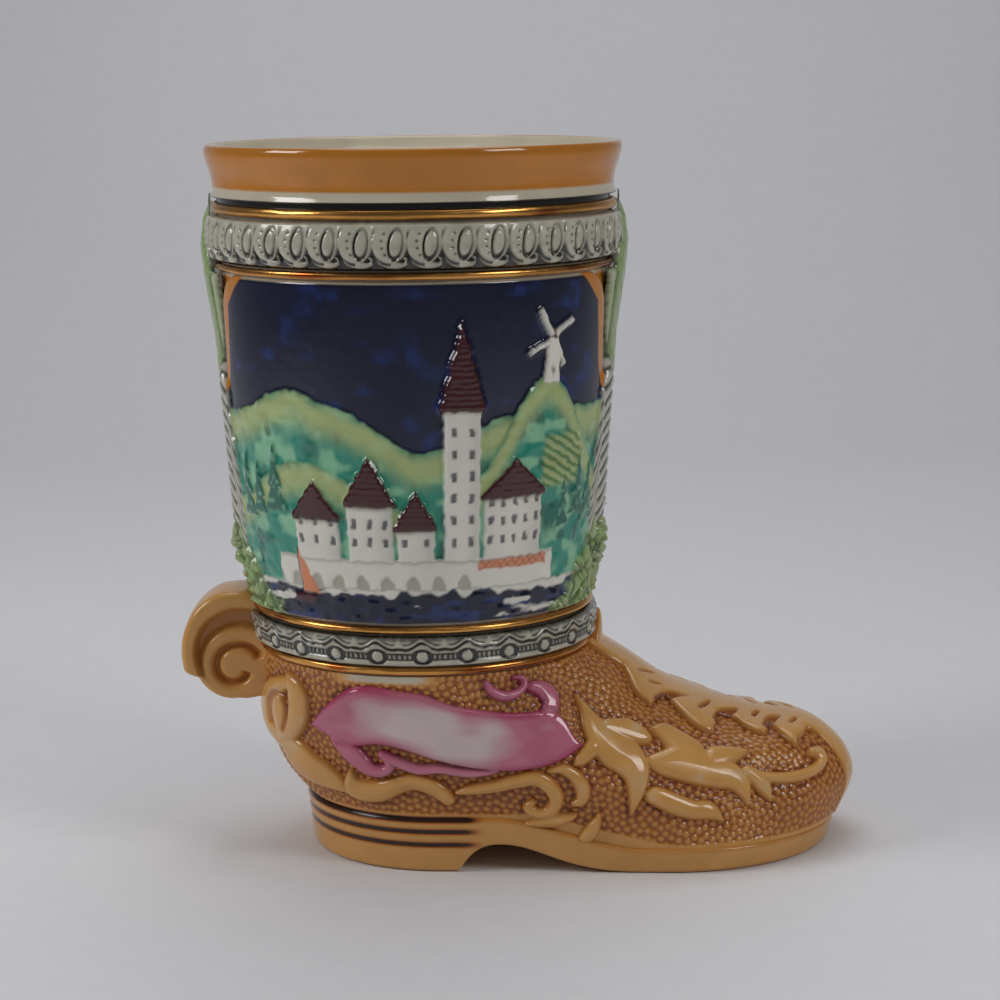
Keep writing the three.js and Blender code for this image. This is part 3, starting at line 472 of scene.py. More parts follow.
class BootSizes(bpy.types.PropertyGroup):
    """Sizes of the dressed relief"""
    pebble_pitch: length_property("Pebble pitch", "Spacing of the beads on the stained ground", 1.4)
    pebble_height: length_property("Pebble height", "Rise of one bead", 0.36)
    ornament_relief: length_property("Ornament relief", "Rise of scrolls and leaves on the foot", 1.25)
    ribbon_relief: length_property("Ribbon relief", "Rise of the ribbon", 1.35)
    bark_pitch: length_property("Bark pitch", "Spacing of the ridges on the tree stems", 2.7)
    lobes: IntProperty(name="Lobes", description="Leaf lobes round the upper border", default=40, min=8)
    bosses: IntProperty(name="Bosses", description="Round bosses in the lower border", default=25, min=8)


class BootColours(bpy.types.PropertyGroup):
    """Colours of the glazes"""
    ivory: colour_property("Ivory", "cdc3ab")
    orange: colour_property("Orange", "c57c26")
    black: colour_property("Black", "24221f")
    tan: colour_property("Tan", "d29d58")
    honey: colour_property("Honey", "c28743")
    amber: colour_property("Amber", "b06c30")
    brown: colour_property("Brown", "86471f")
    dark: colour_property("Dark stain", "2c1b12")
    pale_grey: colour_property("Pale grey", "c8c4b1")
    grey: colour_property("Grey", "a09b8a")
    wash: colour_property("Dark wash", "55564d")
    gold: colour_property("Gold", "dfa257")
    copper: colour_property("Copper", "a65a2a")
    leaf: colour_property("Leaf green", "97b072")
    moss: colour_property("Moss green", "5d7f3e")
    sage: colour_property("Sage green", "a9b688")
    pink: colour_property("Pink", "c36f86")
    rose: colour_property("Rose", "aa3b60")
    blush: colour_property("Blush", "d8c4c3")
    navy: colour_property("Navy", "12162f")
    blue: colour_property("Blue", "24408c")
    teal: colour_property("Teal", "2f8f78")
    spring: colour_property("Spring green", "86c09a")
    meadow: colour_property("Meadow", "b3bf7e")
    maroon: colour_property("Maroon", "4a1f22")
    white: colour_property("White", "e6e2d6")
    salmon: colour_property("Salmon", "dd8a5e")


def palette():
    """The colours as arrays."""
    group = bpy.context.scene.boot_colours
    return {name: np.array(getattr(group, name)) for name in BootColours.__annotations__}


# Leg, rim and gilt lines

PANEL_FACINGS = {"right": -np.pi / 2, "left": np.pi / 2}
PANEL_RADIUS = 37.9
PANEL_REACH = PANEL_RADIUS * np.radians(74)
PANEL_CORNER = 9.0
NECK_Z = 127                     # the leg's rows lie closer above it
NECK_LINE = (129.2, 129.5)       # heights over which the dark line under the rim begins
EDGING_START = (88, 94)          # heights over which the orange edging begins


class BOOT_OT_leg(bpy.types.Operator):
    """Cast leg with a dark line under the rim and orange edging round the corners of the pictures"""
    bl_idname = "boot.leg"
    bl_label = "Leg"

    def execute(self, context):
        c = palette()
        turn = full_turn(512)
        outside = np.concatenate([np.linspace(ANKLE_Z, NECK_Z, 90), np.linspace(NECK_Z + 0.2, LEG_TOP, 16)])
        inside = np.linspace(LEG_TOP, ANKLE_Z, 10)
        z = np.concatenate([outside, inside])[:, None]
        offset = np.concatenate([np.zeros(len(outside)), np.full(len(inside), -WALL)])[:, None]
        angle, z, offset = np.broadcast_arrays(turn[None, :], z, offset)
        outer = offset == 0
        side = np.minimum(np.abs(np.angle(np.exp(1j * (angle - np.pi / 2)))),
                          np.abs(np.angle(np.exp(1j * (angle + np.pi / 2)))))
        past = np.maximum(side * PANEL_RADIUS - PANEL_REACH + PANEL_CORNER, 0)
        corner = np.hypot(past, np.maximum(z - PANEL_HIGH + PANEL_CORNER, 0)) - PANEL_CORNER
        edging = between(corner, 0.2, 3.4, 0.3) * ease(z, *EDGING_START) * (z < PANEL_HIGH) * outer
        paint = mixed(mixed(c["ivory"], c["orange"], edging), c["black"], ease(z, *NECK_LINE) * outer)
        ring_piece("leg_shell", leg_point(angle, z, offset), "ivory_glaze", ["leg"], paint=paint)
        return {"FINISHED"}


class BOOT_OT_rim(bpy.types.Operator):
    """Flared rim: an orange band over an ivory neck, and an ivory lip"""
    bl_idname = "boot.rim"
    bl_label = "Rim"

    def execute(self, context):
        c = palette()
        height = RIM_TOP - LEG_TOP
        neck = [(39.4, 0), (39.85, 0.02), (39.75, 0.06), (39.55, 0.12), (39.5, 0.2), (39.6, 0.32), (39.95, 0.48),
                (40.5, 0.64), (40.95, 0.8), (41.05, 0.88)]
        lip = [(40.95, 0.95), (40.65, 0.99), (40.2, 1.0), (39.75, 0.985), (39.4, 0.94), (38.6, 0.8)]
        inner = [(37.2, 0.6), (35.9, 0.35), (34.8, 0.15), (34.3, 0)]
        outline = neck + lip + inner
        share = np.linspace(0, 1, 84)
        line = spline(outline, share)
        turn = full_turn(420)[None, :]
        radius, rise = line[:, :1], line[:, 1:]
        z = LEG_TOP + rise * height + 0 * turn
        wobble = 0.06 * noise(turn * 6, rise * 3, 3)
        points = np.stack([(radius + wobble) * np.cos(turn), (radius + wobble) * np.sin(turn), z], -1)
        run = share[:, None] * (len(outline) - 1)  # counts the outline's points; the band ends inside the lip
        orange = c["orange"] * (1 - 0.16 * ease(rise, 0.8, 0.93))[..., None]
        band = ease(rise, 0.2, 0.22) * (1 - ease(run, 12.6, 13.1))
        line_foot = (1 - ease(rise, 0.03, 0.045)) * (run < 8)
        paint = mixed(c["ivory"], orange, band + 0 * turn)
        paint = mixed(paint, c["black"], line_foot)
        ring_piece("rim", points, "orange_glaze", ["rim_collar"], paint=paint)
        return {"FINISHED"}


class BOOT_OT_gilt_lines(bpy.types.Operator):
    """Four gold lustre lines on raised beads"""
    bl_idname = "boot.gilt_lines"
    bl_label = "Gilt lines"

    def execute(self, context):
        c = palette()
        turn = full_turn(420)[None, :]
        swing = np.linspace(-np.pi / 2, np.pi / 2, 17)[:, None]
        for seed, place in enumerate(("ankle", "lower", "upper", "neck")):
            low, high = span(f"gilt_bead_{place}")
            z = (low + high) / 2 + (high - low) / 2 * np.sin(swing)
            rise = 0.95 * np.cos(swing) ** 0.8 * (1 + 0.08 * noise(turn * 9, swing, seed))
            angle = np.broadcast_to(turn, rise.shape)
            points = leg_point(angle, z + 0 * turn, SEAT + rise)
            # Copper patches at random over the gold, and dark maroon patches painted in to stand for dark reflections
            # in the lustre
            copper_patches = ease(noise(angle * 5, swing * 0.7, seed + 7), 0.15, 0.85)
            painted_dark_reflection = ease(noise(angle * 2.4, swing * 1.1, seed + 17), 0.15, 0.7)
            paint = mixed(mixed(c["gold"], c["copper"], copper_patches), c["maroon"], 0.4 * painted_dark_reflection)
            ring_piece(f"lustre_line_{place}", points, "gold_lustre", [f"gilt_bead_{place}"], paint=paint)
        return {"FINISHED"}


# Borders

def upper_unit(p, b):
    """Rise of one leaf lobe at p across and b up, in millimetres, and its dark wash and painted shade.

    An oval bud is incised in a broad leaf with three pricked dots; leaves overlap, and each foot runs into a hook.
    """
    oval = np.hypot((p - 0.95 - 0.12 * (b - 5)) / 1.0, (b - 5.0) / 2.2)
    leaf = np.hypot((p + 0.1) / 3.3, (b - 5.2) / 3.9)
    hook = stroke_field(p, b, [[(-2.2, 3.4, 0.9), (-1.2, 1.9, 0.95), (0.6, 1.2, 0.75), (2.3, 1.2, 0.5),
                                (3.0, 1.9, 0.4), (2.5, 2.5, 0.3)]])
    dots = sum(bump(np.hypot(p + x, b - y), 0, 0.27) for x, y in ((1.0, 6.9), (1.45, 5.6), (1.4, 4.3), (0.9, 3.1)))
    bud = 1 - ease(oval, 0.82, 1.02)
    ring = between(oval, 1.04, 1.42, 0.14) * (0.4 + 0.6 * ease(1.4 - p - 0.25 * (b - 5), -0.6, 1.2))
    curl = ease(hook, -0.2, 0.3)
    sheet = np.maximum(1 - ease(leaf, 0.9, 1.04), ease(b, 4.6, 6.8))
    # A low drop down the left edge of each leaf, where a shadow is painted
    step = between(leaf, 0.94, 1.08, 0.08) * (p < 0) * ease(8.4 - b, 0, 2)
    body = np.maximum(sheet, curl)
    rise = body * (0.95 - 0.25 * ease(p, -2.6, 2.4)) + 0.15 * curl
    rise = rise * (1 - 0.8 * ring) * (1 - 0.35 * step) + 0.1 * bud - 0.25 * dots
    stain = np.maximum(0.95 * ring, 0.85 * (1 - body))
    # Painted shadow along that drop, wash in the dots, and darker towards the right and the foot of each lobe
    stain = np.maximum(stain, 0.85 * step) + 0.75 * dots + 0.25 * ease(p, 0.3, 2.8) * ease(6.5 - b, 0, 3)
    return rise, stain


def lower_unit(p, b):
    """Rise and stain of one boss at p across and b up, in millimetres.

    A round boss sits in a dark eye; bars and dots fill the channel between; a double line waves over the boss.
    """
    across = np.abs(p)
    boss = np.hypot(p, b - 2.05)
    eye = np.hypot(p / 2.2, (b - 2.05) / 1.6)
    channel = between(b, 1.35, 2.75, 0.15) * ease(across, 1.3, 1.6)
    marks = sum(bump(across, x, 0.24) * between(b, 1.6, 2.5, 0.15) for x in (2.35, 3.25, 4.15))
    wave = 3.2 + 1.2 * bump(p, 0, 1.45) - 0.15 * bump(across, 2.9, 0.8)
    low_line, high_line = bump(b, wave, 0.3), bump(b, wave + 0.85, 0.3)
    foot_line = bump(b, 0.75 - 0.25 * bump(p, 0, 1.6), 0.3)
    pearl = bump(np.hypot(across - 4.4, b - 4.95), 0, 0.45)
    round_boss = np.sqrt(np.clip(1 - (boss / 1.08) ** 2, 0, 1))
    hollow = np.maximum((1 - ease(eye, 0.85, 1.05)), channel)
    rise = 0.45 - 0.4 * hollow + 0.75 * round_boss + 0.4 * marks * channel
    rise = rise + 0.3 * (low_line + high_line) - 0.25 * bump(b, wave + 0.42, 0.22) + 0.3 * foot_line + 0.35 * pearl
    stain = 0.95 * hollow * (1 - ease(round_boss, 0.05, 0.35)) * (1 - 0.75 * marks)
    stain = np.maximum(stain, 0.95 * bump(b, wave + 0.42, 0.34))
    stain = np.maximum(stain, 0.7 * bump(b, wave + 1.4, 0.3) * ease(across, 4.2, 3))
    stain = np.maximum(stain, 0.6 * ease(b, 4.3, 5.6) * (1 - pearl) * (1 - 0.8 * high_line))
    return rise, stain


class BOOT_OT_borders(bpy.types.Operator):
    """Upper border of leaf lobes and lower border of bosses, grey wash in their hollows and painted shade along their
    edges
    """
    bl_idname = "boot.borders"
    bl_label = "Borders"

    def execute(self, context):
        sizes = context.scene.boot_sizes
        self.border("upper_border", upper_unit, sizes.lobes, per_unit=32, rows=56, proud=1.0, swell=0.95, shift=0.0)
        self.border("lower_border", lower_unit, sizes.bosses, per_unit=56, rows=39, proud=1.15, swell=0.2, shift=0.3)
        return {"FINISHED"}

    def border(self, name, unit, count, per_unit, rows, proud, swell, shift):
        """Band of like units, turned by a share of one: offset = proud edge + round swell + the unit's own rise."""
        low, high = span(name)
        turn = full_turn(count * per_unit)
        share = np.linspace(0, 1, rows)
        angle, share = np.meshgrid(turn, share)
        pitch = TAU * (leg_radius((low + high) / 2) + proud) / count
        p = (np.mod(angle / TAU * count - shift, 1) - 0.5) * pitch
        b = share * (high - low)
        rise, stain = unit(p, b)
        edge = ease(share, 0, 0.06) * (1 - ease(share, 0.94, 1))
        offset = SEAT + (0.25 + 0.75 * edge) * proud + swell * np.sin(np.pi * share) * 0.8 + rise * edge * 0.75
        # Painted shade darkens both edges of the band, where it meets the beads
        stain = np.clip(0.12 + stain + 0.3 * (1 - edge) + 0.1 * noise(angle * 40, share * 8, 5), 0, 1)
        outside = leg_point(angle, low + b, offset)
        inside = leg_point(angle[:2], np.stack([0 * turn + high, 0 * turn + low]), SEAT + 0 * angle[:2])
        stain = np.concatenate([stain, np.full((2, len(turn)), 0.5)])
        ring_piece(f"{name}_relief", np.concatenate([outside, inside]), "grey_glaze", [name], stain=stain)


# Picture panels: a lakeside village
# A house is (middle, half width, wall, roof), a pine (middle, foot, height), a hill (start, end, peak, seed)

WATER_Z = PANEL_LOW + 7.0
STREET_Z = WATER_Z + 6.0
GROUND_Z = STREET_Z + 8.0
HOUSES = [(-20, 5, 8, 7), (-8.5, 4.5, 11, 9), (0.5, 3.6, 6.5, 7), (20.4, 6.5, 12, 7)]
CHURCH = (9.5, 3.5, PANEL_HIGH - 23.5 - STREET_Z, 16.0)
HILLS = [(-44.4, -3.5, 82.1, 20), (9.5, 44.4, 97.7, 24)]
PINES = [(-40, 70, 12), (-35.5, 71, 10), (-30, 72, 13), (38, 70, 11), (42, 68, 12), (33, 68, 9)]


def bark_ridge(z, across, pitch):
    """Ridges of bark, 0 in a groove and 1 on a crest, dropping as they leave the seam."""
    return np.abs(np.sin(np.pi * (z + 0.055 * across ** 2 + 0.5 * noise(across / 2, z / 5, 74)) / pitch))


def bark_shade(ridge):
    """Share of dark wash left in the grooves of the bark."""
    return 0.3 + 0.68 * ease(ridge, 0.9, 0.25)


def tufts(x, y):
    """Round tufts of leaves, 0 between them and 1 on their tops."""
    return np.abs(np.sin(np.pi * (x / 3.4 + 0.2 * y + 0.9 * noise(x / 4, y / 4, 72)))
                  * np.sin(np.pi * (y / 3.8 - 0.1 * x + 0.9 * noise(x / 4, y / 4, 73))))


def hill_line(s, start, end, peak):
    """Outline of a hill: a bell from start to end, rising from the ground to its peak."""
    middle = start + 0.53 * (end - start)
    inside = (s > start - 3) & (s < end + 3)
    return np.where(inside, GROUND_Z + (peak - GROUND_Z) * bump(s, middle, (end - start) / 2.6), GROUND_Z)


class Picture:
    """Painting and relief on a panel, over s along it and z up it."""

    def __init__(self, s, z, colours):
        self.s = s + 0.25 * noise(s * 0.9, z * 0.9, 1)
        self.z = z + 0.25 * noise(s * 0.9, z * 0.9, 2)
        self.c = colours
        self.paint = colours["navy"]
        self.rise = 0 * s

    def brush(self, colour, mask, height=None):
        """Lay a colour, or an array of colours, over the mask, and raise the relief there if a height is given."""
        self.paint = mixed(self.paint, self.c[colour] if isinstance(colour, str) else colour, np.clip(mask, 0, 1))
        if height is not None:
            self.raise_to(height, mask)

    def raise_to(self, height, mask):
        """Bring the relief up to a height within the mask."""
        self.rise = self.rise + (np.maximum(self.rise, height) - self.rise) * np.clip(mask, 0, 1)

    def streak(self, long, high, seed):
        """Brush streaks from 0 to 1, of a length and height in millimetres."""
        return 0.5 + 0.5 * noise(self.s / long, self.z / high, seed)

    def sky(self):
        """Dark blue, brushed in patches."""
        self.brush("blue", 0.55 * ease(self.streak(5, 3, 11), 0.55, 0.95) * self.streak(1.2, 2.4, 12))

    def slope(self, top, mask, height, seed):
        """Teal slope under an outline, with light dabs and a meadow ridge."""
        mask = mask * (1 - ease(self.z, top - 0.3, top + 0.3))
        ridge = bump(self.z, top - 1.6 - 1.2 * self.streak(4, 9, seed), 2.2) + 0.5 * bump(self.z, top - 5, 2)
        slope = mixed(self.c["teal"], self.c["spring"], ease(self.streak(3.2, 2.2, seed + 1), 0.45, 0.8))
        slope = mixed(slope, self.c["teal"] * 0.55, ease(self.streak(2.4, 3, seed + 2), 0.62, 0.9))
        slope = mixed(slope, self.c["meadow"], np.clip(ridge, 0, 1) * 0.9)
        self.brush(slope, mask, height * (1 + 0.5 * noise(self.s / 1.6, self.z / 1.4, seed)))

    def far_range(self):
        """Painted hills behind the village, almost without relief."""
        top = 90 + 5 * bump(self.s, -26, 13) - 5 * bump(self.s, 2, 10) + 1.2 * noise(self.s / 6, 0 * self.s, 13)
        self.slope(top, 1.0, 0.2, 27)

    def hill(self, start, end, peak, seed):
        """Hill in low relief between two places."""
        self.slope(hill_line(self.s, start, end, peak), between(self.s, start - 2, end + 2, 1.0), 0.5, seed)

    def vineyard(self, left, right, low, high):
        """Slanting rows of vines on the slope."""
        area = between(self.s, left, right, 0.8) * between(self.z, low, high, 0.8)
        rows = ease(np.sin(TAU * (self.z + 0.55 * self.s) / 1.9), -0.1, 0.6)
        self.brush("meadow", 0.85 * area * (1 - rows))
        self.brush("moss", 0.85 * area * rows)
        self.raise_to(0.85, area * rows)

    def windmill(self, centre, foot):
        """Tapering white mill with a dark cap and four sails."""
        x, y = self.s - centre, self.z - foot
        body = (1 - ease(np.abs(x), 1.9 - 0.1 * y, 2.2 - 0.1 * y)) * between(y, 0, 8.5, 0.15)
        self.brush("white", body, 1.0)
        cap = (1 - ease(np.hypot(x / 1.5, (y - 8.4) / 1.7), 0.9, 1.05)) * ease(y, 8.2, 8.5)
        self.brush("maroon", cap, 1.2)
        for turn in np.radians([25, 115, 205, 295]):
            along = x * np.cos(turn) + (y - 8.6) * np.sin(turn)
            off = np.abs(-x * np.sin(turn) + (y - 8.6) * np.cos(turn) - 0.35)
            sail = between(along, 0.5, 6.2, 0.15) * (1 - ease(off, 0.45, 0.7))
            self.brush("white", 0.9 * sail)
            self.raise_to(1.3, sail)
        self.brush("black", 0.8 * bump(np.hypot(x / 0.4, (y - 2.2) / 0.8), 0, 1))

    def house(self, centre, half, wall, roof, height=1.1, spire=False):
        """White wall with windows under a dark pitched roof."""
        eaves = STREET_Z + wall
        front = between(self.s, centre - half, centre + half) * between(self.z, STREET_Z - 0.8, eaves)
        shade = 1 - 0.16 * ease(self.s, centre, centre + half)
        self.brush(self.c["white"] * shade[..., None], front, height)
        over = half + 0.8
        slope = eaves + roof * (1 - np.abs(self.s - centre) / over)
        top = between(self.z, eaves - 0.8, slope, 0.2) * (np.abs(self.s - centre) < over)
        course = np.sin(TAU * self.z / 1.1)
        tiles = 0.85 + 0.3 * ease(course, -0.3, 0.5) * self.streak(0.8, 1.1, 31)
        self.brush(self.c["maroon"] * tiles[..., None], top, height + 0.35 + 0.12 * course)
        spots = centre + np.linspace(-1, 1, max(2, int(half / 1.3))) * (half - 1.4) * (0.8 if spire else 1)
        for z in np.arange(STREET_Z + 2.6, eaves - 1.6, 4.2 if spire else 3.6):
            for spot in spots:
                pane = between(self.s, spot - 0.5, spot + 0.5, 0.15) * between(self.z, z, z + 1.7, 0.15)
                self.brush("navy", 0.8 * pane)
                self.rise = self.rise - 0.35 * pane
        self.brush("grey", 0.5 * front * bump(self.z, eaves - 1.0, 0.35))

    def quay(self):
        """Stone quay with low arches, and a strip of salmon brick."""
        wall = between(self.s, -31, 31, 0.3) * between(self.z, WATER_Z, STREET_Z, 0.25)
        self.brush("white", wall, 0.8)
        brick = wall * between(self.z, WATER_Z + 3.6, STREET_Z - 0.3, 0.2) * between(self.s, 13, 29, 0.4)
        self.brush("salmon", 0.95 * brick)
        lattice = np.maximum(bump(np.sin(np.pi * (self.s + self.z) / 1.7), 0, 0.3),
                             bump(np.sin(np.pi * (self.s - self.z) / 1.7), 0, 0.3))
        self.brush("maroon", 0.6 * brick * lattice)
        arch = np.mod(self.s + 29, 5.2) - 2.6
        opening = wall * (1 - ease(np.hypot(arch / 1.5, (self.z - WATER_Z - 0.4) / 2.5), 0.85, 1.05))
        opening = opening * (1 - between(self.s, 12, 31, 0.3))
        self.brush("grey", 0.75 * opening)
        self.rise = self.rise - 0.35 * opening
        self.brush("grey", 0.6 * wall * bump(self.z, STREET_Z - 0.4, 0.25))

    def water(self):
        """Dark lake with pale shore and ripples."""
        lake = 1 - ease(self.z, WATER_Z - 0.3, WATER_Z + 0.3)
        self.brush("navy", lake)
        self.brush("blue", 0.5 * lake * ease(self.streak(4, 1.2, 41), 0.6, 0.9))
        ripple = ease(self.streak(11, 1.3, 42) + 0.2 * self.streak(3, 0.7, 43), 0.86, 0.93)
        self.brush("white", 0.9 * lake * ripple)
        shore = lake * ease(self.z + 1.1 * noise(self.s / 2.5, 0 * self.s, 44), WATER_Z - 1.0, WATER_Z - 0.4)
        self.brush("white", 0.95 * shore)
        self.rise = self.rise + 0.12 * lake * noise(self.s / 3, self.z / 0.8, 45)

    def boat(self, centre):
        """Small boat with a salmon sail."""
        x, y = self.s - centre, self.z - WATER_Z + 3.2
        hull = between(y, 0, 1.5, 0.15) * (1 - ease(np.abs(x), 2.4 + 0.6 * y, 2.8 + 0.6 * y))
        sail = between(y, 1.9, 10.5, 0.2) * between(x, -0.3, 4.2 * (1 - (y - 1.9) / 8.6), 0.2)
        self.brush("maroon", hull)
        self.brush("salmon", sail)
        self.brush("maroon", between(x, -0.75, -0.35, 0.1) * between(y, 1.2, 11.2, 0.1))
        self.raise_to(0.8, np.maximum(hull, sail))

    def pine(self, centre, foot, height):
        """Dark fir in three tiers."""
        y = (self.z - foot) / height
        tier = 1 - np.mod(np.clip(y, 0, 0.999) * 3, 1) * 0.55
        width = height * 0.26 * (1 - y) * tier + 0.2
        mask = between(y, 0, 1, 0.02) * (1 - ease(np.abs(self.s - centre), width - 0.2, width + 0.2))
        self.brush(self.c["teal"] * 0.5, mask, 0.9)
        self.brush("spring", 0.6 * mask * ease(self.streak(1, 0.9, 51), 0.55, 0.85))

    def bark(self, pitch):
        """Ridged bark of the trees, lapping over both side edges and widest below the middle."""
        across = PANEL_RADIUS * np.pi / 2 - np.abs(self.s)
        mask = 1 - ease(across - 9.8 - 5.4 * bump(self.z, 72, 19), -0.3, 0.3)
        ridge = bark_ridge(self.z, across, pitch)
        self.brush("white", mask, 0.6 + 0.7 * ridge)
        self.brush("wash", mask * bark_shade(ridge))

    def foliage(self, side):
        """Light green leaves that fill the panel's lower corner."""
        x = (side * self.s - 29) / 20
        over = self.z - PANEL_LOW - 17 * np.clip(x, 0, 1) ** 1.3 - 1.6 * noise(self.s / 2, self.z / 2, 61)
        bank = (1 - ease(over, -1.2, 1.2)) * ease(x, 0, 0.12)
        leaves = tufts(self.s, self.z)
        self.brush("leaf", bank, 0.7 + 1.3 * leaves)
        self.brush("sage", 0.8 * bank * ease(self.streak(3, 3, 63), 0.4, 0.7))
        self.brush(self.c["moss"] * 0.6, 0.9 * bank * ease(leaves, 0.55, 0.1))


def village(s, z, colours, pitch):
    """Colour and rise of the lakeside village, between trees with bark of a pitch in millimetres."""
    picture = Picture(s, z, colours)
    picture.sky()
    picture.far_range()
    for hill in HILLS:
        picture.hill(*hill)
    picture.vineyard(left=27, right=38, low=76, high=86)
    picture.windmill(centre=28.5, foot=96.2)
    for pine in PINES:
        picture.pine(*pine)
    picture.house(*CHURCH, height=1.5, spire=True)
    for house in HOUSES:
        picture.house(*house)
    picture.quay()
    picture.water()
    picture.boat(centre=-25)
    picture.bark(pitch)
    for side in (-1, 1):
        picture.foliage(side)
    return picture.paint, softened(picture.rise)


def softened(field):
    """Field averaged with its neighbours, twice, as glaze fills sharp steps."""
    for _ in range(2):
        around = np.pad(field, 1, mode="edge")
        field = (2 * field + around[:-2, 1:-1] + around[2:, 1:-1] + around[1:-1, :-2] + around[1:-1, 2:]) / 6
    return field


class BOOT_OT_pictures(bpy.types.Operator):
    """Picture panels on both sides of the leg"""
    bl_idname = "boot.pictures"
    bl_label = "Pictures"

    def execute(self, context):
        colours = palette()
        columns, rows = 373, 217
        # Columns lie closer towards the side edges, and the top edge drops in a round corner
        turn = np.linspace(-np.pi / 2, np.pi / 2, columns)
        s = PANEL_REACH * (0.35 * np.sin(turn) + 0.65 * turn / (np.pi / 2))
        into = np.clip((np.abs(s) - PANEL_REACH + PANEL_CORNER) / PANEL_CORNER, 0, 1)
        top = PANEL_HIGH - PANEL_CORNER * (1 - np.sqrt(1 - into ** 2))
        share = np.linspace(0, 1, rows)[:, None]
        z = PANEL_LOW + share * (top - PANEL_LOW)
        s = np.broadcast_to(s, z.shape)
        paint, rise = village(s, z, colours, context.scene.boot_sizes.bark_pitch / MM)
        inward = np.minimum(np.minimum(top - z, z - PANEL_LOW), PANEL_REACH - np.abs(s))
        edge = quarter_round(inward, 0.9)
        paint = mixed(paint, colours["ivory"], 1 - ease(inward, 0.15, 0.5))
        trim = 3.4 * ease(z, 90, 100) + 1.6 * ease(z, 98, PANEL_HIGH)
        trim = trim * ease(np.abs(s), PANEL_REACH - 13, PANEL_REACH - 4)
        paint = mixed(paint, colours["orange"], between(inward, -1, trim, 0.25) * (trim > 0.2))
        keep = np.ones((rows - 1, columns - 1), bool)
        for side, facing in PANEL_FACINGS.items():
            angle = facing + s / PANEL_RADIUS
            front = leg_point(angle, z, SEAT + edge * (0.45 + rise * 0.85))
            relief_piece(f"picture_{side}", front, leg_point(angle, z, 0.05), keep, "painted_glaze",
                         [f"picture_panel_{side}"], block=12, paint=paint)
        return {"FINISHED"}


# Tree sprigs

# Outline of a sprig seen from the side: height and distance from the leg's axis
SPRIG_CREST = [(50, 34.2), (53, 34.6), (56, 35.4), (58.5, 36.6), (61, 37.3), (66, 37.2), (71, 37.6), (79, 38.1),
               (89, 38.8), (97, 39.5), (103, 39.9), (109, 40.8), (115, 41.7), (121, 42.3), (126, 41.7), (129, 40.6),
               (131, 39.8)]
TREE_REACH = 12.4
TREE_TOP = LEG_TOP + 0.6
FOLIAGE_HALF, FOLIAGE_TOP = 9.6, PANEL_LOW + 17.5
BARK_HALF, BARK_LOW, BARK_HIGH = 9.3, PANEL_LOW + 11, 102
LEAF_FOOT, LEAF_HALF, SIDE_LEAF_FOOT = 97.0, 7.2, 99


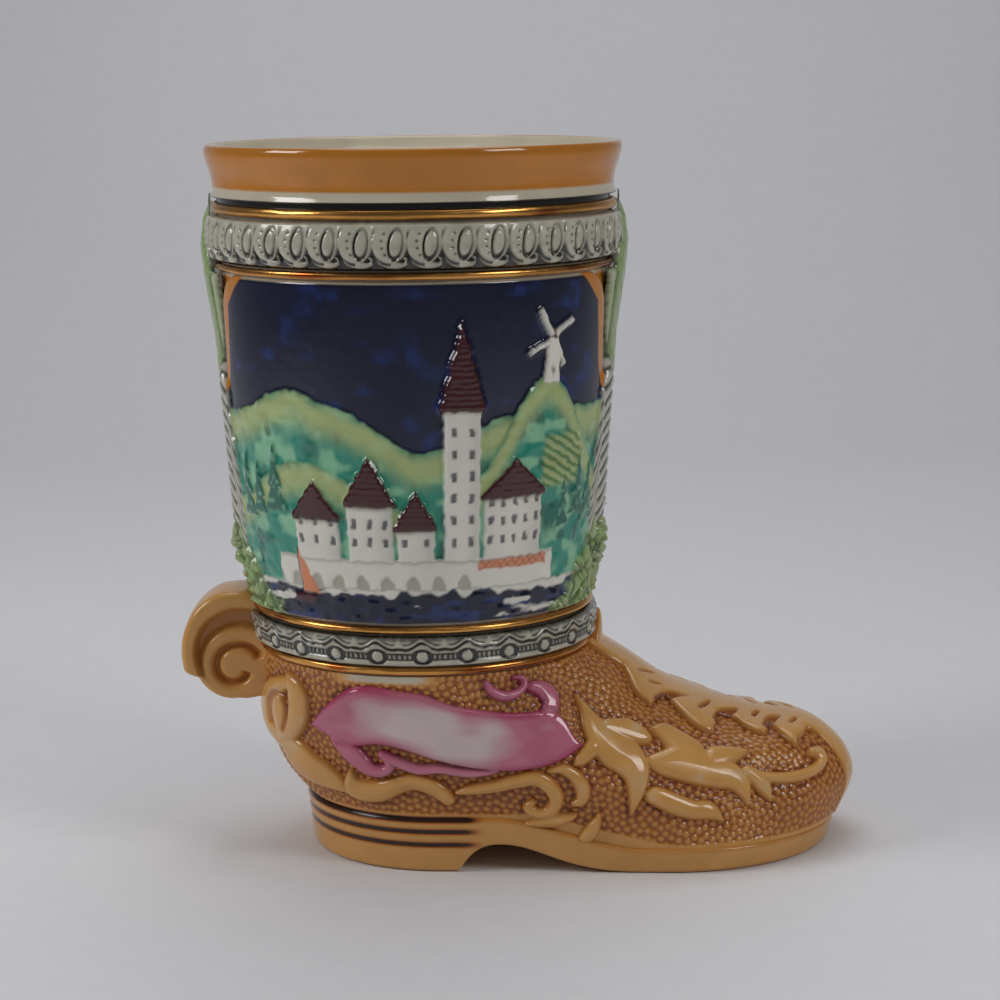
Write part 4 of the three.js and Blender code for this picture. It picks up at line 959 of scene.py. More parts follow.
class BOOT_OT_sprigs(bpy.types.Operator):
    """Tree over the front and back seams: foliage, ridged bark and a pointed leaf over the upper border"""
    bl_idname = "boot.sprigs"
    bl_label = "Sprigs"

    def execute(self, context):
        colours = palette()
        pitch = context.scene.boot_sizes.bark_pitch / MM
        l, z = np.meshgrid(np.linspace(-TREE_REACH, TREE_REACH, 157), np.linspace(PANEL_LOW + 0.4, TREE_TOP, 361))
        depth, rise, paint = self.tree(l, z, pitch, colours)
        ledge = span("gilt_bead_upper")[0]
        seat = 0.1 + 1.3 * ease(z, ledge - 7, ledge)
        crest = np.interp(z, *np.array(SPRIG_CREST).T) - leg_radius(z)
        edge = quarter_round(depth, 1.6)
        keep = cells_inside(depth, -0.1)
        for name, facing in (("front", 0.0), ("back", np.pi)):
            angle = facing + l / leg_radius(z)
            top = leg_point(angle, z, seat + 0.1 + edge * np.maximum(crest - seat - 0.1 + rise, 0.3))
            relief_piece(f"tree_{name}", top, leg_point(angle, z, seat - 0.05), keep, "green_glaze",
                         [f"tree_sprig_{name}"], paint=paint)
        return {"FINISHED"}

    def tree(self, l, z, pitch, c):
        """Depth inside the outline, rise and colour over l across and z up."""
        across = np.abs(l)
        fringe = 0.8 * noise(l / 1.6, z / 1.6, 71)
        foliage = np.minimum(FOLIAGE_HALF - across + fringe, FOLIAGE_TOP - z + 2.5 * fringe - 0.35 * across)
        bark = np.minimum(BARK_HALF - 4.3 * ease(z, 84, 98) - across, np.minimum(z - BARK_LOW, BARK_HIGH - z))
        along = np.clip((z - LEAF_FOOT) / (TREE_TOP - LEAF_FOOT), 0, 1)
        half = LEAF_HALF * np.sin(np.pi * (0.16 + 0.84 * along)) ** 0.75
        leaf = np.minimum(half - across, np.minimum(z - LEAF_FOOT + 2, TREE_TOP - z))
        side_top = span("gilt_bead_upper")[0] - 0.4
        past = np.clip(z - PANEL_HIGH + PANEL_CORNER, 0, PANEL_CORNER)
        blade = 4.8 + 3.9 * ease(z, 97, 107) + 11.2 - np.sqrt(11.2 ** 2 - past ** 2)
        side = np.minimum(blade - across, np.minimum(z - SIDE_LEAF_FOOT, side_top - z))
        depth = np.maximum(np.maximum(foliage, bark), np.maximum(leaf, side))

        ridge = bark_ridge(z, across, pitch)
        bark_rise = 0.5 * ridge - 0.3 - 0.018 * across ** 2
        bark_paint = mixed(c["white"], c["wash"], bark_shade(ridge))
        tuft = tufts(l, z)
        tuft_rise = 1.6 * tuft - 0.9
        tuft_paint = mixed(c["leaf"], c["sage"], ease(noise(l / 3, z / 3, 63), -0.2, 0.4))
        tuft_paint = mixed(tuft_paint, c["moss"] * 0.6, 0.9 * ease(tuft, 0.55, 0.1))
        side_veins = 0.6 * bump(np.mod(z - 1.1 * across, 4.2), 2.1, 0.35) * ease(across, 0.5, 1.2)
        vein = np.maximum(bump(across, 0, 0.35), side_veins)
        leaf_rise = -0.9 * np.clip(across / np.maximum(half, 0.5), 0, 1) ** 2 - 0.3 * vein
        leaf_paint = mixed(0.55 * c["leaf"] + 0.35 * c["sage"], c["moss"], 0.75 * vein)
        fold = bump(across, 0.72 * blade, 0.35)
        side_rise = -1.3 - 0.25 * fold
        side_paint = mixed(c["sage"], c["moss"], 0.55 * fold)

        rise, paint = bark_rise, bark_paint
        for own, own_rise, own_paint in ((side, side_rise, side_paint), (foliage, tuft_rise, tuft_paint),
                                         (leaf, leaf_rise, leaf_paint)):
            share = ease(own, -0.2, 0.5)
            rise = rise + (own_rise - rise) * share
            paint = mixed(paint, own_paint, share)
            paint = mixed(paint, c["moss"] * 0.4, 0.75 * bump(own, -0.05, 0.28))
        return depth, rise, paint


# Foot ornaments, drawn in side elevation: each point is (x, z, half width)

HEEL_SCROLL = [
    [(-25.1, 38.2, .4), (-23.6, 35.5, 1.7), (-23.3, 31.3, 2), (-24.8, 27.2, 1.9), (-27, 23.9, 1.6)],
    [(-24.9, 36.9, 1), (-28.2, 34.5, 1.6), (-30.4, 29.4, 1.8), (-30, 25.5, 1.7), (-27.4, 23.7, 1.6)],
    [(-27.5, 32.6, 1.2), (-27.3, 29.4, 1.6), (-27.1, 26.2, 1.2)],
    [(-26.7, 23.9, 1.2), (-24.4, 22.2, 2.5), (-22.1, 19.8, 3), (-18.9, 18.3, 2.6), (-15.9, 17, 1.6),
     (-13.7, 15.6, .3)],
]
HEEL_CUTS = [
    [(-29.1, 26.9, .3), (-29, 31.2, .4), (-27.5, 34, .4), (-25.9, 32.3, .4), (-25.6, 29.5, .4), (-26.3, 26.4, .3)],
]
WELT_SCROLL = [
    [(-13.2, 19.7, .5), (-12.4, 16.6, 2), (-8, 16.2, 2.1), (-4.2, 17.7, 1.7), (-.8, 18.6, 1.6), (3.1, 17.3, 1.5),
     (5.6, 15.1, 1.2)],
    [(7.4, 16.6, .3), (10.8, 17.3, 1), (15.2, 18.2, 1.2), (19, 19.3, 1.35), (22.6, 19.8, 1.35), (25.4, 17.9, 1.35),
     (26.5, 15.2, 1.25), (25.1, 12.8, 1.15), (22.7, 12.4, 1), (21, 13.7, .85), (21.9, 14.7, .5)],
    [(25.1, 21.3, .4), (27.7, 21.5, .9), (30.2, 19.9, 1.15), (31.6, 17.4, 1.25), (31.3, 15.2, 1), (29.9, 14.6, .5)],
    [(21, 10.2, .5), (25.4, 10.8, 1.2), (28.9, 11.6, .8), (30.1, 12.1, .25)],
    [(31.4, 6.6, .9), (33.1, 8.6, 1.4), (34.4, 11.1, .6), (34.6, 12.1, .2)],
]
ACANTHUS = [
    [(30.4, 34, .2), (32, 31.6, .85), (33.4, 28.9, 1.7), (35.4, 26.2, 2.5), (37.7, 24.1, 2.9), (40.4, 22.4, 2.9),
     (42, 20.1, 2.4), (42, 16.8, 1.5), (41, 12.4, .2)],
    [(36.2, 28.2, 1.2), (40.1, 27.3, 1.5), (43, 26, 1.2), (44.6, 25.2, .5)],
    [(33.6, 25.1, 1.5), (31.6, 23.5, 1.3), (30.2, 22.4, .4)],
    [(44.8, 21.8, .8), (47.3, 21.2, 1.9), (50.6, 20.9, 2.75), (54.1, 19.9, 2.8), (57.6, 18.7, 2.5), (60.8, 17.7, 2.1),
     (62.8, 15.8, 1.5), (63.9, 12.6, .2)],
    [(45.2, 26.7, .2), (47.7, 25.8, 1.2), (50.6, 23.6, 1.9), (53.3, 21.6, 2.4)],
    [(57.2, 20.8, 1.9), (60.8, 21.1, 1.2), (64.1, 21.4, .2)],
    [(63.8, 18.2, 1), (65.2, 17.4, 1.2), (67.1, 15.4, 1.25), (68.4, 12.8, .2)],
    [(66.1, 17.4, .7), (69.7, 16.5, .8), (73.8, 16.1, .85), (77.6, 16.4, .85), (79.8, 17.5, .85), (79.2, 19, .75),
     (77.6, 19.5, .5)],
    [(44.1, 15.4, .5), (45.7, 15.5, 1.6), (49.5, 13.7, 1.8), (52.9, 12.5, 1.65), (56.1, 12.1, 1.5), (58.7, 10.1, .2)],
]
RIBBON_TOP = [(-20.6, 29.2), (-18.3, 32.9), (-15.9, 35.4), (-13.4, 37.4), (-10.9, 38.3), (-7.5, 38.2), (-3.2, 37.5),
              (.7, 37.1), (6.4, 34.9), (10.6, 34), (15.8, 33), (20.6, 32.6), (23.9, 32.7), (26.4, 32), (28.1, 30.3),
              (29.7, 27.7), (31.8, 25.5)]
RIBBON_BOTTOM = [(-20.6, 29.2), (-16.2, 26.8), (-12.3, 25.7), (-7.9, 26.4), (-3.5, 25.8), (3.2, 23.7), (8, 22.5),
                 (15.2, 21.5), (22.4, 21.8), (27.3, 23.1), (31.8, 25.5)]
RIBBON_TAILS = [
    [(-16.2, 28.2, 1.4), (-13.4, 25, 2), (-10.9, 22.4, 1.8), (-9, 20.9, 1.4), (-6.8, 20.7, 1.2), (-5.4, 22, 1),
     (-6.5, 24, .8)],
    [(-7, 24.4, .8), (-3.6, 22.6, 1), (.3, 21.3, 1), (4.1, 21.6, .9), (10, 21, 1), (15.2, 21.9, .8)],
    [(25, 31.5, 1.8), (25.4, 34.3, 1.6), (23.8, 36.3, 1.4), (21.9, 37.1, 1)],
    [(13, 38.9, .5), (14.2, 37.2, .9), (16.3, 36, 1), (18.8, 36.2, .9), (20.2, 37.4, .8), (19.9, 38.8, .6),
     (18.3, 39.2, .4)],
]
# Drawn in plan: each point is (x, y, half width), one side of the crest
INSTEP_CREST = [(35, 0, 4.5), (37.5, 0, 7.6), (41, 0, 7.4), (48, 0, 8.6), (55, 0, 9), (62, 0, 8.2), (70, 0, 7.6),
                (76, 0, 7), (80.5, 0, 4.6), (84, 0, 5)]
TOE_BAND = [(80, 0, 7), (87, 0, 9), (95, 0, 11)]
TOE_BAND_TOP = 26
INSTEP_LOBES = [
    [(44.4, 7, 4.2), (44.5, 9.5, 3.6), (44.3, 12.2, 2.6), (44.9, 14, 1.2), (45.6, 15, .3)],
    [(54, 8, 5.2), (54.8, 11.4, 4.2), (55.4, 13.6, 3.1), (56.4, 15.3, 1.7), (57.8, 16.2, .4)],
    [(66, 6, 4), (66.6, 9, 3.1), (67.2, 10.8, 2.1), (68.3, 12.5, .4)],
    [(73.5, 6, 4), (73.5, 8.6, 3.3), (73.3, 10.8, 2.1), (73.9, 13.2, 1), (74.6, 13.9, .3)],
]
INSTEP_CUTS = [
    [(46.8, 13.1, .8), (49.8, 8.7, 1), (53.2, 6.3, .2)], [(58.9, 12.3, 1), (60.9, 8, 1.2), (63.5, 4.6, .2)],
    [(68.9, 10.2, .8), (70.5, 6, 1), (72.3, 3.8, .2)], [(55.2, 10.4, .25), (56.4, 8, .4), (57.8, 5.1, .2)],
    [(66.5, 6.8, .25), (67, 4.9, .4), (68, 2.7, .2)], [(73.9, 7.4, .25), (74.7, 5.8, .4), (75.6, 3.9, .2)],
    [(43, 6.8, .1), (44.7, 4.4, .25), (46.3, 2.7, .1)], [(45.2, 8.5, .1), (46.4, 7.4, .25), (47.6, 6.5, .1)],
]


def band_depth(x, z):
    """Depth inside the ribbon between its top and bottom edges, each a spline through drawn points."""
    edges = [spline(line, np.linspace(0, 1, 160)) for line in (RIBBON_TOP, RIBBON_BOTTOM)]
    top, bottom = (np.interp(x, line[:, 0], line[:, 1]) for line in edges)
    ends = np.minimum(x - RIBBON_TOP[0][0], RIBBON_TOP[-1][0] - x)
    return np.minimum(0.85 * np.minimum(top - z, z - bottom), ends)


# Strokes of each ornament and the cuts into them
ORNAMENTS = {"heel_scroll": (HEEL_SCROLL, HEEL_CUTS), "welt_scroll": (WELT_SCROLL, []), "acanthus": (ACANTHUS, [])}
SPREAD = 0.2                     # how much wider an ornament is pressed than its strokes are drawn
SPRIG_EDGE = -0.3                # depth at which a sprig ends, just under the ground
SPRIG_BED = 1.0                  # how far its underside lies within the foot
SIDES = (("right", 1), ("left", -1))


def side_depth(point):
    """Greatest depth inside any ornament drawn in side elevation."""
    x, z = point[..., 0], point[..., 2]
    depths = [stroke_field(x, z, strokes) + SPREAD for strokes, _ in ORNAMENTS.values()]
    return np.maximum.reduce([*depths, stroke_field(x, z, RIBBON_TAILS), band_depth(x, z)])


def instep_depth(point):
    """Depth inside the crest of leaves, drawn in plan on both sides."""
    x, y = point[..., 0], np.abs(point[..., 1])
    leaves = stroke_field(x, y, [INSTEP_CREST] + INSTEP_LOBES, blend=0.8)
    band = np.where(point[..., 2] < TOE_BAND_TOP, stroke_field(x, y, [TOE_BAND], blend=0.5), -FAR)
    return np.maximum(leaves, band)


def scattered(points, apart):
    """Bead centres on a cloud of points, close packed but never nearer than apart.

    A hash ranks the cloud, thinned to one point in each small cube. Slab by slab along x, in a few rounds, the
    points with no better rank within reach become beads, and those within reach of a bead go.
    """
    points = points[np.argsort(hashed(points @ np.array([12.9898, 78.233, 37.719])))]
    cubes = np.floor(points / (0.35 * apart)).astype(np.int64) @ np.array([1, 4096, 4096 ** 2])
    points = points[np.sort(np.unique(cubes, return_index=True)[1])]
    beads = np.empty((0, 3))
    slab = 3 * apart
    for low in np.arange(points[:, 0].min(), points[:, 0].max(), slab):
        left = points[(points[:, 0] >= low) & (points[:, 0] < low + slab)]
        close = beads[beads[:, 0] > low - apart]
        for _ in range(7):
            if len(close) and len(left):
                gap = np.linalg.norm(left[:, None] - close, axis=-1).min(axis=1)
                left = left[gap >= apart]
            if not len(left):
                break
            near = np.linalg.norm(left[:, None] - left, axis=-1) < apart
            close = left[~np.tril(near, -1).any(axis=1)]
            beads = np.concatenate([beads, close])
    return beads


def nearest(points, centres):
    """Distance from each point of a (rows, columns, 3) grid to the closest centre, and which it is."""
    away, owner = np.full(points.shape[:2], FAR), np.zeros(points.shape[:2], int)
    step, reach = 13, 2
    for start in range(0, points.shape[1], step):
        block = points[:, start:start + step]
        low, high = block.min(axis=(0, 1)) - reach, block.max(axis=(0, 1)) + reach
        close = np.flatnonzero(((centres > low) & (centres < high)).all(axis=1))
        if len(close):
            apart = ((block[:, :, None] - centres[close]) ** 2).sum(axis=-1)
            away[:, start:start + step] = np.sqrt(apart.min(axis=-1))
            owner[:, start:start + step] = close[apart.argmin(axis=-1)]
    return away, owner


def evened(points, centres, rounds=3):
    """Centres moved, a few times over, to the middle of the points nearest to each: an even packing."""
    for _ in range(rounds):
        owner = nearest(points, centres)[1].ravel()
        count = np.bincount(owner, minlength=len(centres))[:, None]
        total = np.stack([np.bincount(owner, points[..., k].ravel(), len(centres)) for k in range(3)], -1)
        centres = np.where(count > 0, total / np.maximum(count, 1), centres)
    return centres


def heel_share(x):
    """1 over the heel, easing to 0 where the shank begins."""
    return 1 - ease(x, 8, 13)


class BOOT_OT_foot(bpy.types.Operator):
    """Foot in two halves: stained pebbled ground between smooth edges, hollow inside"""
    bl_idname = "boot.foot"
    bl_label = "Foot"

    def execute(self, context):
        sizes = context.scene.boot_sizes
        pitch, height = sizes.pebble_pitch / MM, sizes.pebble_height / MM
        columns, rows = 460, 147
        u = 1 - np.linspace(0, 0.5, columns)
        fall = np.linspace(0, 1, rows)
        u_grid, fall_grid = np.meshgrid(u, fall)
        point, normal = upper_frame(u_grid, fall_grid)
        x, z = point[..., 0], point[..., 2]
        depth = np.maximum(side_depth(point), instep_depth(point))
        welt = z - welt_height(x)
        strip = 0.5 + 1.8 * between(x, 20, 44, 6)
        smooth_foot = 1 - ease(welt, strip, strip + 0.5)
        smooth_top = ease(z, 37.8, 39.4) * between(x, -16, 4, 2)
        ground = (1 - smooth_foot) * (1 - smooth_top)
        beads = evened(point, scattered(point.reshape(-1, 3), 0.84 * pitch))
        dome = np.clip(1 - (nearest(point, beads)[0] / (0.5 * pitch)) ** 2, 0, 1) ** 0.7
        patch = noise(x / 9, z / 7, 81)
        lift = ground * (height * dome - 0.25)
        close = ease(depth, -1.6, -0.1)
        stain = ground * (0.66 - 0.46 * dome + 0.05 * patch) + ground * close * 0.16
        bare = smooth_top * between(x, -14, 2, 3)
        heel_line = bump(welt, 0, 0.35) * heel_share(x)
        stain = np.clip(stain + (1 - ground) * (0.12 - 0.12 * bare) + heel_line, 0, 1)
        outer = point + normal * lift[..., None]
        up = np.linspace(1, 0, 14)[:, None]
        hollow = upper_point(u[None, :], up, WALL + 0.6, FLOOR, WALL)
        hollow[0, :, 2] -= FLOOR         # the lowest row drops to the welt, beside the sole's floor
        section = np.concatenate([outer, hollow])
        section[:, [0, -1], 1] = 0       # the halves meet on the middle line
        stain = np.concatenate([stain, np.full(hollow.shape[:2], 0.02)])
        quads = grid_faces(*section.shape[:2], wrap_rows=True)
        index = np.arange(section.shape[0] * columns).reshape(section.shape[:2])
        caps = [index[:, 0], index[::-1, -1]]
        for side, mirror in SIDES:
            piece_from(f"foot_{side}", section * (1, mirror, 1), quads, caps, "tan_glaze", ["foot"], stain=stain)
        return {"FINISHED"}


HEEL_LINES = (5.6, 8.3, 10.7)    # heights of the dark lines round the heel
HEEL_TAPER, FOOT_ROUND, WELT_ROUND = 1.4, 0.8, 0.7


class BOOT_OT_sole(bpy.types.Operator):
    """Sole and heel in one slab with the floor of the foot: hollow shank, three dark lines round the heel"""
    bl_idname = "boot.sole"
    bl_label = "Sole and heel"

    def execute(self, context):
        stations = 380
        share = np.linspace(0, 0.5, stations)
        edge = sole_outline(share, 0)
        tangent = np.gradient(edge, axis=0)
        normal = np.stack([tangent[:, 1], -tangent[:, 0]], -1) / np.linalg.norm(tangent, axis=1, keepdims=True)
        normal[[0, -1]] = [(1, 0), (-1, 0)]      # straight ahead at the toe, straight back at the heel
        top = welt_height(edge[:, 0])
        up = np.linspace(0, 1, 56)[:, None]
        base = arch_height(edge[:, 0])
        z = base + up * (top - base)
        lines = np.clip(sum(bump(z, level, 0.5) for level in HEEL_LINES) * 1.3, 0, 1) * heel_share(edge[:, 0])
        taper = HEEL_TAPER * (1 - z / np.maximum(top, 1))
        rounding = FOOT_ROUND * (1 - quarter_round(z - base, FOOT_ROUND))
        rounding = rounding + WELT_ROUND * (1 - quarter_round(top - z, WELT_ROUND))
        inset = taper + rounding + 0.28 * lines
        wall = np.concatenate([edge[None] - inset[..., None] * normal[None], z[..., None]], -1)
        stain = np.clip(0.12 + 1.1 * lines + 0.2 * bump(z, top - 0.2, 0.5), 0, 1)

        ledge = np.stack([*(edge - 2.2 * normal).T, top], -1)[None]
        rise = np.stack([*(edge - 3.4 * normal).T, top + FLOOR], -1)[None]
        right_side = np.concatenate([wall, ledge, rise])
        right_side[..., 1] = np.maximum(right_side[..., 1], 0)
        across = np.linspace(1, -1, 11)[1:-1, None]
        floor = np.stack([rise[0, :, 0] + 0 * across, rise[0, :, 1] * across, rise[0, :, 2] + 0 * across], -1)
        under = np.stack([wall[0, :, 0] + 0 * across, -wall[0, :, 1] * across, wall[0, :, 2] + 0 * across], -1)
        left_side = right_side[::-1] * (1, -1, 1)
        section = np.concatenate([right_side, floor, left_side, under])
        flat = np.full((len(floor), stations), 0.02)
        own = np.concatenate([stain, np.full((2, stations), 0.1)])
        layers = np.concatenate([own, flat, own[::-1], flat + 0.1])
        quads = grid_faces(*section.shape[:2], wrap_rows=True)
        piece_from("sole_and_heel", section, quads, [], "tan_glaze", ["sole", "heel"], stain=layers, weld=True)
        return {"FINISHED"}


def arch_height(x):
    """Height of the hollow under the shank: two Bezier arcs, up to its peak and down to the sole."""
    t = np.linspace(0, 1, 40)[:, None]
    back = np.array([(7.4, 0), (9.4, 3.36), (11.45, 5.6), (15.5, 5.6)])
    front = np.array([(15.5, 5.6), (23.45, 5.6), (27.4, 0), (42, 0)])
    weights = np.hstack([(1 - t) ** 3, 3 * t * (1 - t) ** 2, 3 * t * t * (1 - t), t ** 3])
    line = np.concatenate([weights @ back, (weights @ front)[1:]])
    return np.interp(x, line[:, 0], line[:, 1])


# Spur, in polar coordinates about its eye, seen from the side: degrees from +X and radius

SPUR_EYE = (-37.4, 36.5)
SPUR_OUTLINE = [(78, 15.6), (90, 15.4), (103, 15.3), (120, 14.3), (140, 12.6), (160, 11.3), (173, 10.6), (187, 10.1),
                (193, 7.8), (230, 7.1), (276, 6.6), (302, 7.6)]
STRAP_INSIDE = [(40, 13), (90, 12), (120, 10.8), (150, 8.9), (180, 7.3), (195, 6.8)]
COIL_OUTSIDE = [(40, 9.4), (90, 8.2), (140, 7.4), (180, 6.8), (195, 6.7)]
EYE_GROOVE = [(30, 5.4), (90, 4.3), (180, 3.6), (270, 3.2), (340, 2.8)]
SPUR_FRONT = 7.6                 # how far the spur reaches from its eye towards the heel
SPUR_HALF, SPUR_ROUND = 6.2, 1.3


class BOOT_OT_spur(bpy.types.Operator):
    """Rolled spur: a broad strap over a coil with a raised eye"""
    bl_idname = "boot.spur"
    bl_label = "Spur"

    def execute(self, context):
        theta = full_turn(260)
        degrees = np.degrees(theta)
        reach = np.interp(degrees, *np.array(SPUR_OUTLINE).T, period=360)
        cosine = np.cos(theta)
        reach = np.minimum(reach, np.where(cosine > 0.05, SPUR_FRONT / np.maximum(cosine, 0.05), np.inf))
        # Average over seven neighbours, to round the outline's corners
        reach = np.convolve(np.concatenate([reach[-3:], reach, reach[:3]]), np.ones(7) / 7, "valid")
        q = np.linspace(0.02, 1, 58)[:, None]
        radius = q * reach
        strap_at, coil_at, eye_at = (np.interp(degrees, *np.array(line).T)
                                     for line in (STRAP_INSIDE, COIL_OUTSIDE, EYE_GROOVE))
        strap_on = between(degrees, 30, 196, 5)
        eye_on = between(degrees, 20, 335, 8)
        strap = ease(radius - strap_at, -0.9, 0.6)
        coil = 1 - ease(radius - coil_at, -1.0, 0.8)
        valley = strap_on * (1 - np.maximum(strap, coil))
        eye_cut = bump(radius, eye_at, 0.75) * eye_on
        half = SPUR_HALF + 0.8 * strap * strap_on - 1.5 * valley - 1.5 * eye_cut
        half = half - SPUR_ROUND * (1 - quarter_round(reach - radius, SPUR_ROUND))
        face_stain = np.clip(0.1 + 0.28 * valley + 0.36 * eye_cut, 0, 1)
        cross = np.linspace(-1, 1, 15)[1:-1, None]
        crown = 0.25 * (1 - cross ** 2)
        radius = np.concatenate([radius, reach + crown, radius[::-1]])
        y = np.concatenate([-half, half[-1] * cross, half[::-1]])
        stain = np.concatenate([face_stain, np.full((len(cross), len(theta)), 0.1), face_stain[::-1]])
        points = np.stack([SPUR_EYE[0] + radius * cosine, y, SPUR_EYE[1] + radius * np.sin(theta)], -1)
        index = np.arange(points.shape[0] * len(theta)).reshape(points.shape[:2])
        quads = grid_faces(*points.shape[:2], wrap_columns=True)
        caps = [index[0, ::-1], index[-1]]
        piece_from("rolled_spur", points, quads, caps, "tan_glaze", ["spur"], stain=stain)
        return {"FINISHED"}


# Sprigs on the foot

def patch_on_foot(strokes, margin=1.6, step=0.25):
    """Grid of (u, fall) that covers strokes on the right side, at about the step in millimetres."""
    u, fall = np.meshgrid(1 - np.linspace(0, 0.5, 400), np.linspace(0, 1, 160))
    point = upper_point(u, fall)
    inside = stroke_field(point[..., 0], point[..., 2], strokes) > -margin
    rows, columns = np.where(inside)
    low_u, high_u = u[0, columns.max()], u[0, columns.min()]
    low_fall, high_fall = max(fall[rows.min(), 0] - 0.004, 0), min(fall[rows.max(), 0] + 0.004, 1)
    box = point[rows.min():rows.max() + 1, columns.min():columns.max() + 1]
    width = np.linalg.norm(np.diff(box, axis=1), axis=-1).sum(axis=1).max()
    height = np.linalg.norm(np.diff(box, axis=0), axis=-1).sum(axis=0).max()
    return np.meshgrid(np.linspace(high_u + 0.002, low_u - 0.002, int(width / step)),
                       np.linspace(low_fall, high_fall, int(height / step)))


def pressed(depth, relief, round_over):
    """Rise of a sprig pressed on the ground: a quarter round up from its edge, diving below the ground outside."""
    return relief * quarter_round(depth, round_over) + np.minimum(depth, 0) * 2.0


def sheet(point, normal, rise):
    """Top of a sprig at its rise over the foot, and its underside within the foot."""
    return point + normal * rise[..., None], point - normal * SPRIG_BED


def sprig_pair(name, part, faces, keep, slot, **layers):
    """Sprig on the right side of the foot, and its mirror image on the left."""
    for side, mirror in SIDES:
        top, under = (face * (1, mirror, 1) for face in faces)
        relief_piece(f"{name}_{side}", top, under, keep, slot, [f"{part}_{side}"], **layers)


class BOOT_OT_ribbons(bpy.types.Operator):
    """Bare ribbon on each side, pink at its ends, with rolled tails"""
    bl_idname = "boot.ribbons"
    bl_label = "Ribbons"

    def execute(self, context):
        c = palette()
        relief = context.scene.boot_sizes.ribbon_relief / MM
        edges = [[(*spot, 0.5) for spot in line] for line in (RIBBON_TOP, RIBBON_BOTTOM)]
        u, fall = patch_on_foot(edges + RIBBON_TAILS)
        point, normal = upper_frame(u, fall)
        x, z = point[..., 0], point[..., 2]
        band = band_depth(x, z)
        tails = stroke_field(x, z, RIBBON_TAILS)
        depth = np.maximum(band, tails)
        rise = np.maximum(pressed(band, relief, 0.8), pressed(tails, relief * 1.1, 1.0))
        rise = rise - 0.25 * ease(band, 1.2, 4.5) + 0.12 * np.sin(x / 4.1) * ease(band, 0.5, 2)
        rise = rise - 0.5 * bump(band, 0.15, 0.3) * ease(tails, -0.5, 0.2)
        ends = np.maximum(1 - ease(x, -14, -2), ease(x, 11, 22))
        brushed = np.clip(ends + 0.45 * noise(x / 5, z / 3, 91) + 0.6 * ease(band, 3.2, 0.6), 0, 1)
        paint = mixed(c["blush"], c["pink"], brushed)
        paint = mixed(paint, c["rose"], ease(depth, 1.6, 0.2) * np.clip(0.55 + 0.5 * ends, 0, 1))
        paint = mixed(paint, c["pink"], 0.7 * ease(tails, -0.1, 0.3) * (band < 0.6))
        paint = mixed(paint, c["rose"] * 0.5, ease(depth, 0.15, -0.25))
        sprig_pair("ribbon_band", "ribbon", sheet(point, normal, rise), cells_inside(depth, SPRIG_EDGE), "pink_glaze",
                   paint=paint)
        return {"FINISHED"}


class BOOT_OT_scrolls(bpy.types.Operator):
    """Scrolls at the heel and along the welt, and acanthus on the vamp, on both sides"""
    bl_idname = "boot.scrolls"
    bl_label = "Scrolls and acanthus"

    def execute(self, context):
        relief = context.scene.boot_sizes.ornament_relief / MM
        for name, (strokes, cuts) in ORNAMENTS.items():
            self.ornament(name, strokes, cuts, relief)
        return {"FINISHED"}

    def ornament(self, name, strokes, cuts, relief):
        """Strokes pressed on the foot: rise follows the depth inside them, honey on top and amber at the edge."""
        u, fall = patch_on_foot(strokes)
        point, normal = upper_frame(u, fall)
        x, z = point[..., 0], point[..., 2]
        depth = stroke_field(x, z, strokes) + SPREAD
        cut = ease(stroke_field(x, z, cuts), -0.3, 0.25)
        rise = pressed(depth, relief, 1.5) + 0.12 * np.clip(depth - 1.0, 0, 2) - 0.6 * cut
        stain = 0.1 + 0.2 * ease(depth, 0.7, 0.1) + 0.45 * ease(depth, 0.1, -0.3) + 0.4 * cut
        stain = np.clip(stain + 0.05 * noise(x / 3, z / 3, 95), 0, 0.8)
        keep = cells_inside(depth, SPRIG_EDGE) & (point[..., 1] < 0)[:-1, :-1]
        sprig_pair(f"{name}_relief", name, sheet(point, normal, rise), keep, "tan_glaze", stain=stain)


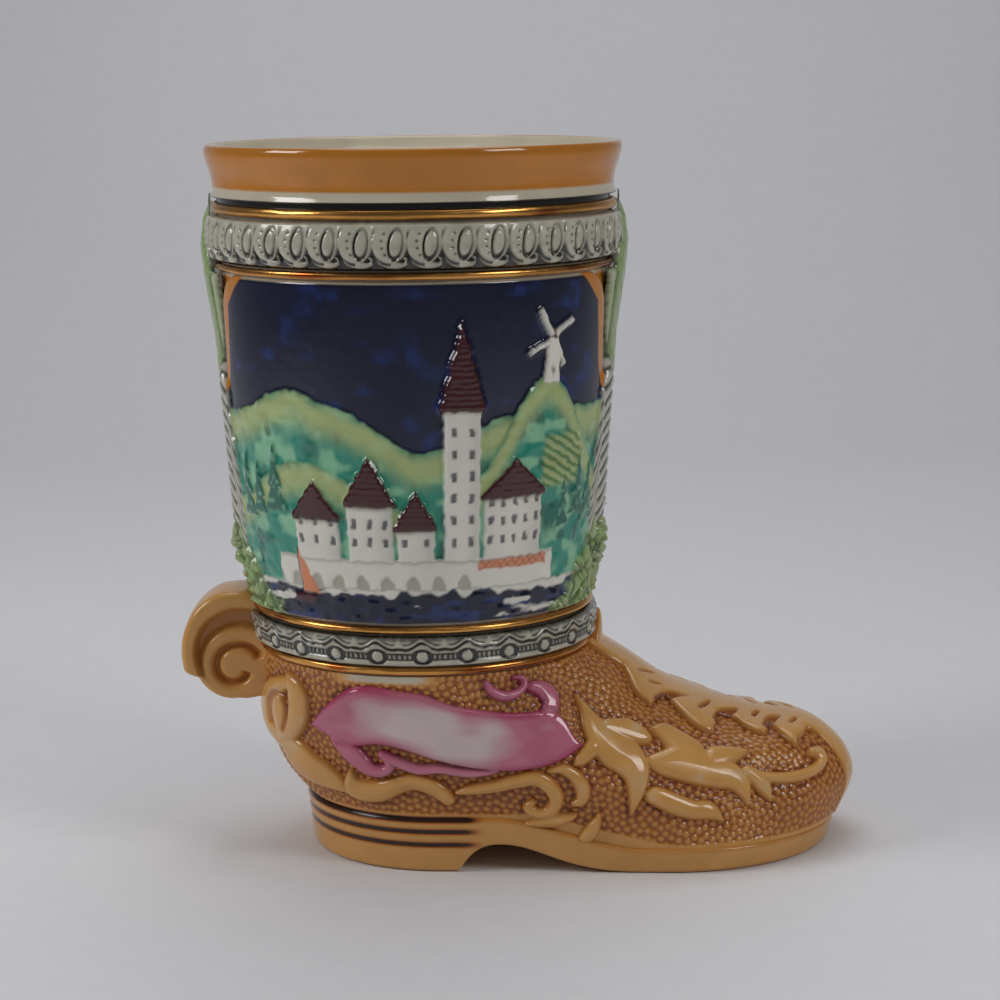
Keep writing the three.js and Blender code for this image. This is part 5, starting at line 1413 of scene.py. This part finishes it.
class BOOT_OT_instep(bpy.types.Operator):
    """Crest of leaves from the ankle down the instep to the toe"""
    bl_idname = "boot.instep"
    bl_label = "Instep crest"

    def execute(self, context):
        relief = context.scene.boot_sizes.ornament_relief / MM
        u, fall = np.meshgrid(np.linspace(-0.13, 0.13, 301), np.linspace(0.0, 0.985, 289))
        point, normal = upper_frame(u, fall)
        depth = instep_depth(point)
        cut = ease(stroke_field(point[..., 0], np.abs(point[..., 1]), INSTEP_CUTS), -0.3, 0.25)
        flat = relief * (1 - 0.75 * ease(point[..., 0], 76, 84))
        rise = pressed(depth, flat, 1.6) + 0.03 * np.clip(depth - 1.5, 0, 5) - 0.9 * cut * ease(depth, 0.2, 1.0)
        stain = np.clip(0.1 + 0.22 * ease(depth, 0.7, 0.1) + 0.45 * ease(depth, 0.1, -0.3) + 0.6 * cut, 0, 0.8)
        relief_piece("instep_crest", *sheet(point, normal, rise), cells_inside(depth, SPRIG_EDGE), "tan_glaze",
                     ["instep_leaf"], stain=stain)
        self.tongue()
        return {"FINISHED"}

    def tongue(self):
        """Leaf tip that laps up over the lower border, narrowing as it climbs."""
        v = np.linspace(0, 1, 60)[:, None]
        l = np.linspace(-1, 1, 60)[None, :]
        z = ANKLE_Z - 3 + v * 9.2 * (1 - 0.25 * l ** 2)
        half = np.radians(10) * (1 - 0.55 * v ** 2)
        seat = 2.2 - 1.4 * ease(v, 0.45, 0.0)
        round_over = np.sqrt(np.clip(1 - np.abs(l) ** 3, 0, 1)) * np.sqrt(np.clip(1 - v ** 6, 0, 1))
        top = leg_point(half * l, z, seat + 1.15 * round_over)
        under = leg_point(half * l, z, seat - 0.9 + 0 * l)
        stain = np.clip(0.06 + 0.4 * ease(round_over, 0.6, 0.2), 0, 1) + 0 * z
        keep = np.ones((v.size - 1, l.size - 1), bool)
        relief_piece("instep_tongue", top, under, keep, "tan_glaze", ["instep_leaf"], stain=stain)


# Stage

CAMERA_TARGET = Vector((16.3, 0, 68.9)) * MM
CAMERA_DISTANCE = 513 * MM
CAMERA_PITCH = np.radians(9.8)
CAMERA_ROLL = 0.0115
CAMERA_LENS = 91.8


class BOOT_OT_stage(bpy.types.Operator):
    """Pale floor with a curved back, soft lights and the camera"""
    bl_idname = "boot.stage"
    bl_label = "Studio"

    def execute(self, context):
        self.backdrop()
        self.light("left", (-470, -150, 330), size=200, power=1.05)
        self.light("right", (400, -300, 360), size=180, power=0.75)
        self.light("top", (20, 60, 640), size=480, power=0.9)
        self.light("back", (0, 420, 900), size=500, power=1.9, aim=(0, 900, 350))
        world = bpy.data.worlds.new("studio")
        world.use_nodes = True
        shade = world.node_tree.nodes["Background"]
        shade.inputs["Color"].default_value = (*linear("c9cbd2"), 1)
        shade.inputs["Strength"].default_value = 0.2
        context.scene.world = world
        context.scene.view_settings.view_transform = "Standard"
        camera = bpy.data.objects.new("camera", bpy.data.cameras.new("camera"))
        context.scene.collection.objects.link(camera)
        camera.data.lens = CAMERA_LENS
        camera.data.sensor_width = 36.0
        camera.data.clip_start = 0.01
        away = Vector((0, -np.cos(CAMERA_PITCH), np.sin(CAMERA_PITCH)))
        camera.location = CAMERA_TARGET + CAMERA_DISTANCE * away
        track = (-away).to_track_quat("-Z", "Y").to_matrix()
        camera.rotation_euler = (track @ Matrix.Rotation(-CAMERA_ROLL, 3, "Z")).to_euler()
        context.scene.camera = camera
        return {"FINISHED"}

    def light(self, name, place, size, power, aim=None):
        """Square soft light at a place in millimetres, turned to the mug or to the aim."""
        data = bpy.data.lights.new(name, "AREA")
        data.size = size * MM
        data.energy = power
        lamp = bpy.data.objects.new(name, data)
        bpy.context.scene.collection.objects.link(lamp)
        lamp.location = Vector(place) * MM
        aim = Vector(aim) * MM if aim else CAMERA_TARGET
        lamp.rotation_euler = (aim - lamp.location).to_track_quat("-Z", "Y").to_euler()

    def backdrop(self):
        """Sweep: a flat floor that curves up into a wall, the same along x."""
        bend = np.linspace(0, np.pi / 2, 24)
        y = np.concatenate([[-2000], 500 + 400 * np.sin(bend), [900]])
        z = np.concatenate([[0], 400 - 400 * np.cos(bend), [2500]])
        x = np.array([-2500, 2500])[:, None]
        points = np.stack(np.broadcast_arrays(x, y[None, :], z[None, :]), -1) - (0, 0, 0.05)
        mesh = bpy.data.meshes.new("backdrop")
        mesh.from_pydata((points.reshape(-1, 3) * MM).tolist(), [], grid_faces(2, len(y)).tolist())
        mesh.polygons.foreach_set("use_smooth", np.ones(len(mesh.polygons), bool))
        floor = bpy.data.objects.new("backdrop", mesh)
        bpy.context.scene.collection.objects.link(floor)

        def paper(tree):
            place = node(tree, "ShaderNodeTexCoord").outputs["Object"]
            shades = node(tree, "ShaderNodeTexNoise", {}, {"Scale": 1 / (200 * MM), "Detail": 1.0}, {"Vector": place})
            ramp = node(tree, "ShaderNodeValToRGB", {}, {}, {"Fac": shades.outputs["Fac"]})
            ramp.color_ramp.elements[0].color = (*linear("e1e1e4"), 1)
            ramp.color_ramp.elements[1].color = (*linear("e6e6e8"), 1)
            return ramp.outputs["Color"]

        mesh.materials.append(glaze("matt_studio_paper", paper, roughness=0.6, ripple=0.02, speck=0.01))


class BOOT_PT_panel(bpy.types.Panel):
    """Steps that dress the mug"""
    bl_idname = "BOOT_PT_panel"
    bl_label = "Boot mug"
    bl_space_type = "VIEW_3D"
    bl_region_type = "UI"
    bl_category = "Boot mug"

    def draw(self, context):
        for step in STEPS:
            self.layout.operator(step.bl_idname)
        for name in BootSizes.__annotations__:
            self.layout.prop(context.scene.boot_sizes, name)
        for name in BootColours.__annotations__:
            self.layout.prop(context.scene.boot_colours, name)


STEPS = (BOOT_OT_leg, BOOT_OT_rim, BOOT_OT_gilt_lines, BOOT_OT_borders, BOOT_OT_pictures, BOOT_OT_sprigs,
         BOOT_OT_foot, BOOT_OT_sole, BOOT_OT_spur, BOOT_OT_ribbons, BOOT_OT_scrolls, BOOT_OT_instep, BOOT_OT_stage)
CLASSES = (BootSizes, BootColours, *STEPS, BOOT_PT_panel)


def register():
    for each in CLASSES:
        bpy.utils.register_class(each)
    bpy.types.Scene.boot_sizes = PointerProperty(type=BootSizes)
    bpy.types.Scene.boot_colours = PointerProperty(type=BootColours)


def unregister():
    del bpy.types.Scene.boot_colours
    del bpy.types.Scene.boot_sizes
    for each in reversed(CLASSES):
        bpy.utils.unregister_class(each)


def main():
    register()
    for step in STEPS:
        group, name = step.bl_idname.split(".")
        getattr(getattr(bpy.ops, group), name)()


if __name__ == "__main__":
    main()
